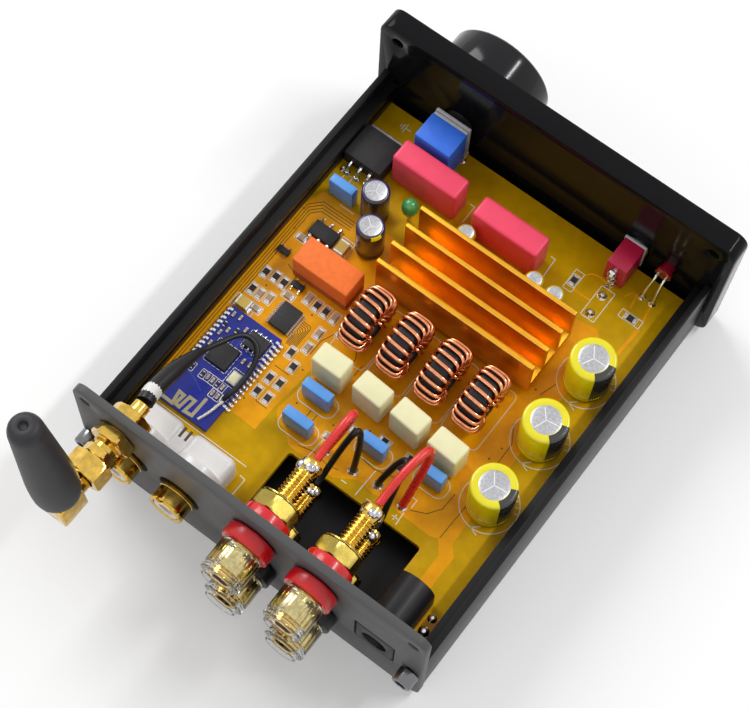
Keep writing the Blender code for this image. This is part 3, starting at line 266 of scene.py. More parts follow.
RUBBER = Finish("aerial_rubber", (0.022, 0.022, 0.025), 0.5, drift=0.1, relief=0.006, grain=0.15, shine=0.35)
KNOB_BLACK = Finish("knob_black", (0.004, 0.004, 0.006), 0.13, relief=0.001, grain=0.05, stretch=(1, 8, 1), shine=0.3)
WIRE_RED = Finish("wire_red", (0.80, 0.022, 0.018), 0.28, drift=0.05, relief=0.001, grain=0.9, coat=0.2)
WIRE_BLACK = Finish("wire_black", (0.010, 0.010, 0.011), 0.35, relief=0.004, grain=0.4, shine=0.3)
MODULE_BLUE = Finish("module_mask", (0.008, 0.018, 0.27), 0.3, drift=0.12, blotch=2, relief=0.002, shine=0.4)
MODULE_TRACE = Finish("module_trace", (0.03, 0.06, 0.42), 0.3, drift=0.05, relief=0)
CHIP_CERAMIC = Finish("chip_ceramic", (0.45, 0.33, 0.22), 0.4, drift=0.15, blotch=0.5)
TANTALUM = Finish("yellow_mould", (0.72, 0.50, 0.10), 0.4, drift=0.08, relief=0.004)
KHAKI = Finish("bare_gilt_copper", (0.42, 0.36, 0.20), 0.35, drift=0.08)
# Dark brown strips standing for the phono housing's slots: painted shade.
SLOT_PAINTED_SHADE = Finish("slot_painted_shade", (0.10, 0.055, 0.02), 0.6, relief=0)


def span(node: str) -> tuple[Vector, Vector]:
    """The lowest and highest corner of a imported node, in millimetres."""
    low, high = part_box(node)
    return low / MM, high / MM


def middle(node: str) -> Vector:
    """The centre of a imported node's box, in millimetres."""
    low, high = span(node)
    return (low + high) / 2


def arc(centre: Pair, radius: float, start: float, end: float, steps: int) -> list[Pair]:
    """Points of an arc between two angles in degrees, both ends included."""
    angles = (math.radians(start + (end - start) * i / steps) for i in range(steps + 1))
    return [(centre[0] + radius * math.cos(a), centre[1] + radius * math.sin(a)) for a in angles]


def circle(centre: Pair, radius: float, steps: int = 32) -> list[Pair]:
    """A closed circle as an outline."""
    return arc(centre, radius, 0, 360 - 360 / steps, steps - 1)


def rounded(low: Pair, high: Pair, radius: float, steps: int = 6) -> list[Pair]:
    """A rectangle's outline with round corners."""
    (x0, y0), (x1, y1) = low, high
    return (
        arc((x1 - radius, y0 + radius), radius, -90, 0, steps)
        + arc((x1 - radius, y1 - radius), radius, 0, 90, steps)
        + arc((x0 + radius, y1 - radius), radius, 90, 180, steps)
        + arc((x0 + radius, y0 + radius), radius, 180, 270, steps)
    )


def toothed(teeth: int, outer: float, inner: float) -> list[Pair]:
    """A closed outline with that many square teeth."""
    points = []
    for i in range(teeth):
        for share, radius in ((0.0, inner), (0.5, inner), (0.5, outer), (1.0, outer)):
            angle = 2 * math.pi * (i + share) / teeth
            points.append((radius * math.cos(angle), radius * math.sin(angle)))
    return points


def area_of(points: Sequence[Pair]) -> float:
    """The signed area of a closed outline."""
    return sum(a[0] * b[1] - b[0] * a[1] for a, b in zip(points, [*points[1:], points[0]])) / 2


def inset(points: Sequence[Pair], by: float) -> list[Pair]:
    """A closed outline moved to its left by a distance, with mitred corners."""
    moved = []
    for i, point in enumerate(points):
        before, after = Vector(points[i - 1]), Vector(points[(i + 1) % len(points)])
        here = Vector(point)
        back, ahead = (here - before).normalized(), (after - here).normalized()
        left, right = Vector((-back.y, back.x)), Vector((-ahead.y, ahead.x))
        moved.append(tuple(here + (left + right) * by / (1 + max(left.dot(right), -0.6))))
    return moved


def smooth_route(knots: Sequence[Triple], count: int) -> list[Vector]:
    """Points on a smooth curve through the knots."""
    fixed = [Vector(knot) for knot in knots]
    spans = len(fixed) - 1
    points = []
    for i in range(count):
        along = min(i * spans / (count - 1), spans - 1e-6)
        k, t = int(along), along - int(along)
        before, a, b, after = fixed[max(k - 1, 0)], fixed[k], fixed[k + 1], fixed[min(k + 2, spans)]
        points.append(
            0.5 * (2 * a + (b - before) * t + (2 * before - 5 * a + 4 * b - after) * t**2
                   + (3 * a - before - 3 * b + after) * t**3)
        )
    return points


class Maker:
    """Gathers shapes into one mesh, each with its own finish, and makes a piece of them."""

    def __init__(self, name: str) -> None:
        """Starts an empty piece."""
        self.name = name
        self.shape = bmesh.new()
        self.finishes: list[Finish] = []

    def add(self, part: bmesh.types.BMesh, finish: Finish, where: Matrix | None = None) -> None:
        """Takes in a shape.

        Args:
            part: the shape, which is used up.
            finish: its surface.
            where: a transform to put it in place.
        """
        if finish not in self.finishes:
            self.finishes.append(finish)
        index = self.finishes.index(finish)
        if where is not None:
            part.transform(where)
        for face in part.faces:
            face.material_index = index
        mesh = bpy.data.meshes.new(self.name)
        part.to_mesh(mesh)
        part.free()
        self.shape.from_mesh(mesh)
        bpy.data.meshes.remove(mesh)

    def skin(self, finish: Finish, rings: Sequence[Sequence[Vector]], where: Matrix | None = None,
             around: bool = True, caps: bool = True, loop: bool = False) -> None:
        """Covers rings of points with faces.

        Args:
            finish: the surface.
            rings: rings with the same number of points each.
            where: a transform to put the shape in place.
            around: whether each ring closes on itself.
            caps: whether the first and last ring get a face.
            loop: whether the last ring joins the first.
        """
        part = bmesh.new()
        made = [[part.verts.new(point) for point in ring] for ring in rings]
        count = len(made[0])
        pairs = list(zip(made, [*made[1:], made[0]])) if loop else list(zip(made, made[1:]))
        for low, high in pairs:
            for i in range(count if around else count - 1):
                j = (i + 1) % count
                part.faces.new((low[i], low[j], high[j], high[i]))
        if caps and not loop:
            part.faces.new(made[0][::-1])
            part.faces.new(made[-1])
        bmesh.ops.remove_doubles(part, verts=part.verts, dist=1e-4)
        bmesh.ops.dissolve_degenerate(part, edges=part.edges, dist=1e-4)
        bmesh.ops.recalc_face_normals(part, faces=part.faces)
        self.add(part, finish, where)

    def box(self, finish: Finish, low: Triple, high: Triple, bevel: float = 0.15, steps: int = 2,
            turn: float = 0.0) -> None:
        """A box between two corners with round edges, turned in plan by some degrees about its middle."""
        start, end = Vector(low), Vector(high)
        part = bmesh.new()
        bmesh.ops.create_cube(part, size=1, matrix=Matrix.Diagonal((*(end - start), 1)))
        if bevel:
            bmesh.ops.bevel(part, geom=part.edges, offset=bevel, segments=steps, affect="EDGES", profile=0.5)
        place = Matrix.Translation((start + end) / 2) @ Matrix.Rotation(math.radians(turn), 4, "Z")
        self.add(part, finish, place)

    def turned(self, finish: Finish, profile: Sequence[Pair], origin: Triple, axis: Axis = Axis.Y,
               steps: int = 48, start: float = 0.0, sweep: float = 360.0) -> None:
        """A surface of revolution.

        Args:
            finish: the surface.
            profile: (radius, height) from one end to the other; it closes on the axis or on itself.
            origin: where height 0 lies.
            axis: the direction of height.
            steps: facets round the shape.
            start: the first angle in degrees, for a shape that doesn't go all the way round.
            sweep: how far it goes round, in degrees.
        """
        full = sweep >= 360
        count = steps if full else steps + 1
        angles = [math.radians(start + sweep * i / steps) for i in range(count)]
        rings = [[Vector((r * math.cos(a), r * math.sin(a), h)) for a in angles] for r, h in profile]
        open_end = profile[0][0] > 1e-6 and full
        self.skin(finish, rings, Matrix.Translation(origin) @ axis.turn(), full, False, open_end)

    def bar(self, finish: Finish, radius: float, origin: Triple, length: float, axis: Axis = Axis.Y,
            steps: int = 32, edge: float = 0.1) -> None:
        """A round bar with softened ends."""
        profile = [(0, 0), (radius - edge, 0), (radius, edge), (radius, length - edge), (radius - edge, length),
                   (0, length)]
        self.turned(finish, profile, origin, axis, steps)

    def plate(self, finish: Finish, loops: Sequence[Sequence[Pair]], origin: Triple, depth: float,
              axis: Axis = Axis.Z, edge: float = 0.1, square: int = 0) -> None:
        """An outline with holes, extruded, with softened edges.

        Args:
            finish: the surface.
            loops: the outline, then its holes.
            origin: where the outline's plane lies.
            depth: how far it is extruded.
            axis: the direction of the extrusion.
            edge: radius of the soft edges.
            square: 1 keeps the far end's edges sharp, -1 those at the origin, 0 neither.
        """
        part = bmesh.new()
        steps = ((1, 0), (0.293, 0.293), (0, 1)) if edge else ((0, 0),)
        soft = [(aside * edge, up * edge) for aside, up in steps]
        levels = [(0.0, 0.0)] if square < 0 else soft
        levels = [*levels, *((aside, depth - up) for aside, up in ([(0.0, 0.0)] if square > 0 else soft[::-1]))]
        for number, points in enumerate(loops):
            wants = 1 if number == 0 else -1
            ordered = list(points) if area_of(points) * wants > 0 else list(points)[::-1]
            rings = [[part.verts.new((*spot, up)) for spot in inset(ordered, aside)] for aside, up in levels]
            for low, high in zip(rings, rings[1:]):
                for i in range(len(low)):
                    j = (i + 1) % len(low)
                    part.faces.new((low[i], low[j], high[j], high[i]))
        rim = [e for e in part.edges if len(e.link_faces) == 1]
        for level in (0.0, depth):
            flat = [e for e in rim if all(abs(v.co.z - level) < 1e-6 for v in e.verts)]
            bmesh.ops.triangle_fill(part, use_beauty=True, edges=flat)
        bmesh.ops.recalc_face_normals(part, faces=part.faces)
        self.add(part, finish, Matrix.Translation(origin) @ axis.turn())

    def hexagon(self, finish: Finish, across: float, origin: Triple, thick: float, axis: Axis = Axis.Y,
                turn: float = 0.0, bore: float = 0.0) -> None:
        """A hexagonal nut measured across its flats, with its corners turned down at both ends."""
        corner = across / math.sqrt(3)
        steps = 96
        rings = []
        for share, up in ((0.915, 0.0), (0.97, 0.05), (1.0, 0.12), (1.0, 0.88), (0.97, 0.95), (0.915, 1.0)):
            ring = []
            for i in range(steps):
                angle = math.radians(360 * i / steps)
                flat = across / 2 / math.cos((angle + math.radians(30)) % math.radians(60) - math.radians(30))
                radius = min(flat, corner * share)
                ring.append(Vector((radius * math.cos(angle), radius * math.sin(angle), up * thick)))
            rings.append(ring)
        if bore:
            hole = [[Vector((*(ring_point.xy.normalized() * bore), up * thick)) for ring_point in rings[0]]
                    for up in (1.0, 0.0)]
            rings = [*rings, *hole]
        place = Matrix.Translation(origin) @ axis.turn() @ Matrix.Rotation(math.radians(turn), 4, "Z")
        self.skin(finish, rings, place, True, not bore, bool(bore))

    def wire(self, finish: Finish, points: Sequence[Vector | Triple], radius: float, sides: int = 12,
             widths: Sequence[float] | None = None) -> None:
        """A round wire through the points, with closed ends. Widths are shares of the radius at each point."""
        path = [Vector(point) for point in points]
        shares = widths or [1.0] * len(path)
        normal = (path[1] - path[0]).orthogonal().normalized()
        rings = []
        for i, point in enumerate(path):
            tangent = (path[min(i + 1, len(path) - 1)] - path[max(i - 1, 0)]).normalized()
            normal = (normal - tangent * normal.dot(tangent)).normalized()
            across = tangent.cross(normal)
            rings.append([
                point + radius * shares[i] * (math.cos(a) * normal + math.sin(a) * across)
                for a in (2 * math.pi * k / sides for k in range(sides))
            ])
        self.skin(finish, rings)

    def strip(self, finish: Finish, points: Sequence[Pair], width: float, foot: float, top: float,
              closed: bool = False) -> None:
        """A flat ribbon on the board along a line of points, as a low closed solid."""
        line = [Vector(point) for point in points]
        sides: list[tuple[Vector, Vector]] = []
        for i, here in enumerate(line):
            before = line[i - 1] if i or closed else here
            after = line[(i + 1) % len(line)] if closed or i + 1 < len(line) else here
            back = (here - before).normalized() if here != before else (after - here).normalized()
            ahead = (after - here).normalized() if after != here else back
            left, right = Vector((-back.y, back.x)), Vector((-ahead.y, ahead.x))
            aside = (left + right) * (width / 2) / (1 + max(left.dot(right), -0.5))
            sides.append((here + aside, here - aside))
        rings = [[Vector((*a, top)), Vector((*b, top)), Vector((*b, foot)), Vector((*a, foot))] for a, b in sides]
        self.skin(finish, rings, None, True, not closed, closed)

    def copy_of(self, node: str, finish: Finish, edge: float = 0.0, steps: int = 2) -> None:
        """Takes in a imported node's own mesh, welded, with its sharp edges rounded."""
        part = bmesh.new()
        part.from_mesh(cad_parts[node].data)
        part.transform(Matrix.Scale(1 / MM, 4))
        bmesh.ops.remove_doubles(part, verts=part.verts, dist=0.002)
        bmesh.ops.dissolve_limit(part, angle_limit=math.radians(0.5), verts=part.verts, edges=part.edges)
        if edge:
            sharp = [e for e in part.edges if len(e.link_faces) == 2 and e.calc_face_angle() > math.radians(40)]
            bmesh.ops.bevel(part, geom=sharp, offset=edge, segments=steps, affect="EDGES", profile=0.5,
                            clamp_overlap=True)
        self.add(part, finish)

    def make(self, body: Body, nodes: Iterable[str] = (), sharp: float = 34) -> bpy.types.Object:
        """Makes the piece and sets it on its body.

        Args:
            body: the body that it rides on.
            nodes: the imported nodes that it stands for.
            sharp: the angle in degrees above which an edge stays sharp.

        Returns:
            The new object.
        """
        mesh = bpy.data.meshes.new(self.name)
        self.shape.to_mesh(mesh)
        self.shape.free()
        mesh.transform(Matrix.Scale(MM, 4))
        for finish in self.finishes:
            mesh.materials.append(finish.material())
        mesh.shade_smooth()
        mesh.set_sharp_from_angle(angle=math.radians(sharp))
        piece = bpy.data.objects.new(self.name, mesh)
        bpy.context.scene.collection.objects.link(piece)
        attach(piece, body.value)
        if nodes:
            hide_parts(*nodes)
        LOG.info("%s: %d faces on %s", self.name, len(mesh.polygons), body.value)
        return piece


@dataclass
class Case:
    """The tray, both panels and the screws that hold them."""

    corner: float = 3.0
    front_hole: float = 3.8
    lever_hole: float = 3.2
    lamp_hole: float = 1.8
    counterbore: float = 2.5
    sunk: float = 3.8
    socket: float = 1.35

    def build(self) -> None:
        """Makes every piece of the case."""
        self.tray()
        self.front()
        self.rear()
        for number in (1, 2):
            self.screw(f"rear_screw_{number}", Axis.Y)
            self.screw(f"front_screw_{number}", Axis.FRONT)

    def tray(self) -> None:
        """The extruded tray, with the die lines along its walls."""
        tray = Maker("tray")
        tray.copy_of("chassis", BLACK_ANODISED, 0.18)
        tray.make(Body.CASE, ["chassis"])

    def outline(self, node: str) -> list[Pair]:
        """A panel's outline in the X and -Z plane of a shape that grows along +Y."""
        low, high = span(node)
        return rounded((low.x, -high.z), (high.x, -low.z), self.corner, 8)

    def front(self) -> None:
        """The glossy front panel, with counterbores for the screws and the lid's screws."""
        low, high = span("front_panel")
        knob, lever, lamp = middle("volume_knob"), middle("switch_body"), middle("led")
        port = middle("front_screw_1")
        lamp_z = span("led")[1].z - 1.9
        through = [self.outline("front_panel"), circle((knob.x, -knob.z), self.front_hole),
                   circle((lever.x, -16.5), self.lever_hole), circle((lamp.x, -lamp_z), self.lamp_hole, 20)]
        spots = [(side * x, -z) for side in (-1, 1) for x, z in ((port.x, port.z), (40.2, 34.1))]
        panel = Maker("front_plate")
        wide = [*through, *(circle(spot, self.counterbore, 28) for spot in spots)]
        narrow = [*through, *(circle(spot, 1.25, 20) for spot in spots)]
        panel.plate(BLACK_GLOSS, wide, (0, low.y, 0), self.sunk, Axis.Y, 0.35, 1)
        panel.plate(BLACK_GLOSS, narrow, (0, low.y + self.sunk, 0), high.y - low.y - self.sunk, Axis.Y, 0.35, -1)
        panel.make(Body.CASE, ["front_panel"])

    def rear(self) -> None:
        """The thin grey rear panel with all its openings."""
        low, high = span("rear_panel")
        port, jack = middle("rear_screw_1"), span("dc_jack")
        loops = [self.outline("rear_panel"), circle((32.5, -28.4), 3.4)]
        for number in (1, 2):
            socket = middle(f"rca_sleeve_{number}")
            loops.append(circle((socket.x, -socket.z), 5.0, 40))
        for number in (1, 2, 3, 4):
            post = middle(f"post_insulator_{number}")
            loops.append(circle((post.x, -post.z), 4.1, 32))
        for side in (-1, 1):
            loops.append(circle((side * port.x, -port.z), 1.25, 20))
            loops.append(circle((side * 40.2, -34.1), 1.25, 20))
        gap = 0.3
        loops.append(rounded((jack[0].x - gap, -jack[1].z - gap), (jack[1].x + gap, -jack[0].z + gap), 0.6, 4))
        panel = Maker("rear_plate")
        panel.plate(GREY_PANEL, loops, (0, low.y, 0), high.y - low.y, Axis.Y, 0.22)
        panel.make(Body.CASE, ["rear_panel"])

    def screw(self, node: str, axis: Axis) -> None:
        """A socket-head screw with its hexagonal recess and threaded shank."""
        low, high = span(node)
        outward = 1 if axis is Axis.Y else -1
        head_end = high.y if outward > 0 else low.y
        tip = low.y if outward > 0 else high.y
        centre = middle(node)
        head, tall, shank = (high.x - low.x) / 2, 3.2, 0.95
        length = abs(head_end - tip)
        under = length - tall
        screw = Maker(node + "_fine")
        pitch, profile = 0.4, [(0, 0), (shank * 0.7, 0), (shank, 0.4)]
        for i in range(int((under - 0.8) / pitch)):
            at = 0.4 + i * pitch
            profile += [(shank, at), (shank - 0.14, at + pitch / 2)]
        profile += [(shank, under), (head - 0.15, under), (head, under + 0.15), (head, length - 0.35),
                    (head - 0.12, length - 0.12), (head - 0.35, length), (self.socket + 0.1, length),
                    (self.socket, length - 0.12)]
        corner = self.socket
        profile += [(corner, length - 1.6), (0, length - 1.8)]
        screw.turned(SCREW_STEEL, profile, (centre.x, tip, centre.z), axis, 28)
        # The recess walls are a darker steel than the head: painted shade in the recess.
        hexed = [(corner * math.cos(math.radians(60 * i)), corner * math.sin(math.radians(60 * i))) for i in range(6)]
        ring = [circle((0, 0), corner + 0.02, 24), hexed]
        screw.plate(DARK_STEEL_AND_SHADE, ring, (centre.x, head_end - outward * 1.5, centre.z), 1.35, axis, 0)
        screw.make(Body.CASE, [node])


class Chip(Enum):
    """The small parts that are soldered flat."""

    RESISTOR = "resistor"
    CERAMIC = "ceramic"
    MOULDED = "moulded"


@dataclass
class Board:
    """The main board: laminate, copper areas, etched gaps, print, solder and the small flat parts."""

    top: float = 11.9
    film: float = 0.03
    notch: Pair = (-26.8, 7.0)
    notch_front: float = 29.95
    corner: float = 0.8
    copper: tuple[Pair, ...] = (
        (39.7, 36.2), (39.7, -15.8), (38.2, -21.8), (15, -22.2), (15, -26.4), (-22.5, -26.4), (-22.6, -30.8),
        (-27.9, -31.6), (-30.2, -29.4), (-31.0, -13), (-31.4, 25.4), (-33.4, 27.6), (-33.4, 37.2), (-30.5, 37.2),
        (-30.6, 29.0), (-28.4, 26.3), (-26.8, 26.9), (-18.6, 26.8), (-16.7, 26.3), (-12.0, 26.7), (-7.9, 26.2),
        (-3.6, 29.0), (8.1, 29.0), (10.1, 26.9), (13.2, 26.2), (14.9, 24.0), (13.8, 16.3), (13.5, 9.0),
        (14.6, 9.0), (14.8, 17.1), (15.5, 23.3), (15.7, 30.5), (24.9, 30.3), (37.3, 30.3), (37.3, 36.2))
    jack_copper: tuple[Pair, ...] = ((-36.0, 39.4), (-39.2, 39.4), (-39.2, 45.6), (-36.0, 45.6))
    tracks: tuple[tuple[float, tuple[Pair, ...]], ...] = (
        (0.4, ((-18.6, -40.4), (-19.6, -41.5), (-21.4, -42.0), (-24.2, -41.6))),
        (0.4, ((-18.4, -36.1), (-23.0, -36.2))), (0.5, ((-30.6, -39.9), (-30.2, -43.2))),
        (0.8, ((-34.9, -37.0), (-34.3, -27.1))), (0.5, ((-33.8, -43.7), (-34.6, -39.0))),
        (0.4, ((-28.2, -41.5), (-28.9, -43.2), (-31.2, -43.6))))
    gaps: tuple[tuple[Pair, ...], ...] = (
        ((9.0, 23.2), (9.0, 20.1)), ((7.4, 23.2), (7.4, 20.1)), ((6.5, 27.8), (3.2, 26.9), (-1.0, 27.5), (-3.4, 27.0)),
        ((4.0, 22.4), (1.8, 21.0), (1.6, 18.0)), ((-20.3, 24.9), (-23.5, 23.4), (-25.4, 20.6), (-25.6, 16.5)),
        ((-28.6, 26.0), (-28.9, 17.4), (-28.6, 4.9), (-28.5, 0.5), (-26.2, -3.4)), ((-28.1, -16.0), (-26.8, -11.9)),
        ((8.6, 8.6), (8.6, 5.4), (9.4, 3.9)), ((6.6, 8.6), (6.6, 5.6)), ((-4.6, 21.8), (-9.0, 22.4), (-13.8, 21.2)),
        ((28.6, 11.4), (32.2, 11.4)), ((30.2, 2.6), (30.2, -2.2), (33.4, -3.4)), ((22.3, 1.9), (22.3, 0.9)),
        ((16.9, 10.2), (16.9, 6.4), (15.6, 3.4)), ((17.6, 16.7), (21.4, 16.7)), ((22.0, 21.6), (19.4, 25.4), (16.6, 25.4)))
    vias: tuple[Pair, ...] = (
        (25.8, -9.2), (22.1, 2.9), (38.9, -16.0), (28.3, -16.2), (-27.4, 2.6), (-26.6, 6.0), (-25.4, -12.4), (31.2, 2.3),
        (34.0, 3.4), (16.0, 14.0), (21.8, 26.4), (12.4, 20.6), (3.4, 19.8), (-3.4, 16.2), (-14.4, 17.2), (37.6, -11.0))
    strokes: tuple[tuple[Pair, ...], ...] = (
        ((-5.2, 28.3), (-6.5, 28.3)), ((-11.7, 28.4), (-13.0, 28.4)), ((-18.0, 28.0), (-19.4, 28.0)),
        ((-18.7, 27.3), (-18.7, 28.7)), ((-9.4, 29.2), (-9.6, 22.3)), ((-19.8, 29.2), (-19.6, 26.0)),
        ((-18.9, 22.4), (-20.2, 22.4), (-20.2, 24.4)), ((3.4, 29.2), (3.1, 23.7)),
        ((11.9, 40.2), (10.5, 40.4), (10.6, 46.0)), ((36.4, 38.0), (12.0, 38.0)),
        ((-10.2, -39.5), (-11.4, -39.4), (-11.7, -33.2)), ((11.0, -38.9), (9.7, -38.9), (9.7, -34.0)),
        ((34.4, -45.6), (34.4, -44.8)), ((33.8, -46.0), (33.8, -44.4)), ((33.2, -46.4), (33.2, -44.0)),
        ((33.2, -45.2), (31.8, -45.2)), ((33.3, -21.4), (29.4, -21.4)), ((18.6, -49.0), (18.6, -42.6)),
        ((15.6, -22.8), (15.6, -27.4), (11.2, -27.4)))
    frames: tuple[tuple[float, float, float, float], ...] = (
        (-17.4, -37.8, 2.2, 5.2), (-24.6, -36.5, 3.4, 8.2), (-32.1, -37.95, 5.2, 2.0), (35.9, -27.4, 1.9, 1.6))
    long_on_y: tuple[tuple[Chip, tuple[Pair, ...]], ...] = (
        (Chip.RESISTOR, ((36.0, 1.0), (33.6, 0.6), (31.4, 0.7), (35.9, 5.8), (22.5, 0.6), (20.2, 0.6), (20.3, 12.4),
                         (18.0, 14.7), (20.4, 19.6), (17.9, 19.4), (20.6, 23.5), (17.9, 23.5), (-17.4, -37.8))),
        (Chip.CERAMIC, ((33.8, 5.8), (31.6, 5.4), (24.9, 0.4), (17.8, 0.6), (18.3, 5.4), (18.2, 9.4), (29.3, -4.4),
                        (13.8, -2.4))),
        (Chip.MOULDED, ((26.4, -13.1),)))
    long_on_x: tuple[tuple[Chip, tuple[Pair, ...]], ...] = (
        (Chip.RESISTOR, ((-32.1, -37.95), (-7.3, 16.2), (-13.2, 18.8), (-14.0, 16.0), (-1.2, 18.2))),
        (Chip.CERAMIC, ((32.5, 9.0), (34.8, -10.0), (28.8, 2.5), (14.0, 3.0), (2.4, 22.6))),
        (Chip.MOULDED, ((35.0, 9.8),)))
    blobs: tuple[tuple[float, float, float], ...] = (
        (1.2, 25.3, 1.15), (-5.9, 25.3, 1.15), (-11.8, 24.6, 1.15), (-18.5, 25.1, 1.15), (-31.2, -43.7, 0.85),
        (-33.8, -43.7, 0.85), (-24.5, -33.7, 1.1), (-24.3, -38.6, 1.1), (-37.6, 43.6, 1.2), (-37.4, 40.4, 1.0),
        (38.0, -28.9, 0.8), (26.8, -27.4, 0.8), (18.6, -46.6, 0.9))

    def build(self) -> None:
        """Makes the board and what is etched, printed and soldered on it."""
        self.laminate()
        self.etching()
        self.print()
        self.solder()
        self.flat_parts()
        self.package("board_converter", (25.9, 7.1), (4.7, 6.1, 1.4), 13, 0.455, 0.22, 0.95, True)
        self.package("board_regulator", (31.4, -13.4), (6.2, 3.5, 1.6), 3, 2.3, 0.75, 1.5, False)
        self.package("board_transistor_1", (35.9, -5.1), (2.9, 1.4, 1.0), 2, 1.9, 0.45, 0.7, False)
        self.package("board_transistor_2", (28.4, -0.4), (2.9, 1.4, 1.0), 2, 1.9, 0.45, 0.7, False)

    def laminate(self) -> None:
        """The board's outline with its notch at the rear."""
        low, high = span("main_board")
        (x0, x1), r = self.notch, self.corner
        outline = [
            (low.x, low.y), (high.x, low.y), (high.x, high.y), (x1, high.y),
            *arc((x1 - r, self.notch_front + r), r, 0, -90, 5), *arc((x0 + r, self.notch_front + r), r, -90, -180, 5),
            (x0, high.y), (low.x, high.y),
        ]
        board = Maker("board_laminate")
        board.plate(BOARD_BARE, [outline], (0, 0, low.z), self.top - low.z, Axis.Z, 0.08)
        board.make(Body.CASE, ["main_board"])

    def etching(self) -> None:
        """The copper areas and tracks under the mask, and the etched gaps between them."""
        copper = Maker("board_copper")
        for outline in (self.copper, self.jack_copper):
            copper.plate(BOARD_COPPER, [outline], (0, 0, self.top - 0.01), self.film + 0.01, Axis.Z, 0)
        level = self.top + self.film
        for width, points in self.tracks:
            copper.strip(BOARD_COPPER, points, width, self.top, level)
        for points in (*self.gaps, *self.bundles()):
            copper.strip(BOARD_GAP, points, 0.2, self.top, level + 0.008)
        for spot in self.vias:
            copper.bar(BOARD_GAP, 0.24, (*spot, self.top), self.film + 0.012, Axis.Z, 12, 0)
        copper.make(Body.CASE)

    def bundles(self) -> list[tuple[Pair, ...]]:
        """The tracks that run side by side: along the wall, from the fine chip, and beside the relay."""
        lines: list[tuple[Pair, ...]] = []
        for k in range(4):
            x, back = 38.9 - 0.6 * k, 36 if k < 2 else 10.5
            lines.append(((x, back), (x, -17.2 + 0.45 * k), (36.4 - 0.35 * k, -19.8 + 0.7 * k), (27.8, -19.9 + 0.7 * k)))
        for k in range(8):
            y, x = 5.2 + 0.48 * k, 20.3 + 0.32 * k
            lines.append(((22.6, y), (x + 0.5, y), (x, y + 0.5), (x, 11.4)))
        return lines + [((16.4, -5.9 + 0.55 * k), (14.4, -5.9 + 0.55 * k)) for k in range(4)]

    def print(self) -> None:
        """The pale lines: outlines of parts, signs beside the speaker wires, and arrows at the big cans."""
        ink = Maker("board_print")
        for points in self.strokes:
            self.line(ink, points, 0.2)
        for x, y, width, depth in self.frames:
            self.frame(ink, x, y, width, depth, 0.1)
        for (x, y), (width, depth) in Capacitors.boxes[1:]:
            self.frame(ink, x, y, width + 2.3, depth + 2.3, 2.0)
        for number in (1, 2, 3, 4):
            self.frame(ink, middle(f"toroid_core_{number}").x, -1.1, 9.2, 15.8, 1.4)
        for number in (1, 2, 3):
            at = middle(f"reservoir_capacitor_{number}").xy
            ink.strip(INK, circle(tuple(at), 6.3, 48), 0.2, self.top, self.top + self.film + 0.02, True)
            self.line(ink, [(at.x - 1.3, at.y + 4.9), (at.x + 0.2, at.y + 6.3), (at.x - 1.7, at.y + 7.0)], 0.2)
            for angle in range(196, 260, 14):
                way = Vector((math.cos(math.radians(angle)), math.sin(math.radians(angle))))
                self.line(ink, [tuple(at + way * 5.3), tuple(at + way * 6.1)], 0.2)
        for rows, along in ((self.long_on_y, True), (self.long_on_x, False)):
            for kind, spots in rows:
                size = (1.8, 3.0) if kind is not Chip.MOULDED else (3.2, 5.4)
                for x, y in spots:
                    self.frame(ink, x, y, *(size if along else size[::-1]), 0.1)
        ink.make(Body.CASE)

    def line(self, ink: Maker, points: Sequence[Pair], width: float) -> None:
        """Prints a line on the board."""
        ink.strip(INK, points, width, self.top, self.top + self.film + 0.02)

    def frame(self, ink: Maker, x: float, y: float, width: float, depth: float, radius: float) -> None:
        """Prints the outline of a part about its middle."""
        low, high = (x - width / 2, y - depth / 2), (x + width / 2, y + depth / 2)
        ink.strip(INK, rounded(low, high, radius, 5 if radius > 1 else 1), 0.18, self.top, self.top + self.film + 0.02, True)

    def solder(self) -> None:
        """Tinned pads, each with a low cone of solder."""
        solder = Maker("board_solder")
        for x, y, r in self.blobs:
            flow = [(0, 0.9), (0.35 * r, 0.85), (0.55 * r, 0.5), (0.8 * r, 0.2), (r, 0.06), (r, 0), (0, 0)]
            solder.turned(TINNED, flow, (x, y, self.top), Axis.Z, 20)
        solder.make(Body.CASE)

    def flat_parts(self) -> None:
        """Resistors, ceramic capacitors and the two moulded ones, with their metal ends and solder."""
        small = Maker("board_small_parts")
        faces = {Chip.RESISTOR: RESIN, Chip.CERAMIC: CHIP_CERAMIC, Chip.MOULDED: TANTALUM}
        for rows, along in ((self.long_on_y, True), (self.long_on_x, False)):
            for kind, spots in rows:
                for spot in spots:
                    self.flat_part(small, faces[kind], spot, along, kind is Chip.MOULDED)
        small.make(Body.CASE)

    def flat_part(self, small: Maker, face: Finish, spot: Pair, along: bool, big: bool) -> None:
        """One flat part.

        Args:
            small: the piece that takes it.
            face: its body's surface.
            spot: its middle on the board.
            along: whether it lies along Y and not along X.
            big: whether it is one of the large moulded ones.
        """
        long, wide, tall = (3.4, 2.4, 1.5) if big else (1.9, 1.16, 0.5)
        base = self.top + self.film
        cap = 0.3 * long / 1.9
        shapes = [(face, 0.0, long - cap, wide, tall, 0.06)]
        for side in (-1, 1):
            shapes.append((TINNED, side * (long - cap) / 2, cap, wide + 0.04, tall + 0.02, 0.08))
            shapes.append((TINNED, side * (long / 2 + 0.1), 0.5, wide + 0.12, 0.1, 0.03))
        for finish, shift, length, width, height, bevel in shapes:
            half = Vector((width, length) if along else (length, width)) / 2
            at = Vector(spot) + Vector((0, shift) if along else (shift, 0))
            small.box(finish, (at.x - half.x, at.y - half.y, base - 0.02), (at.x + half.x, at.y + half.y, base + height),
                      bevel, 1)

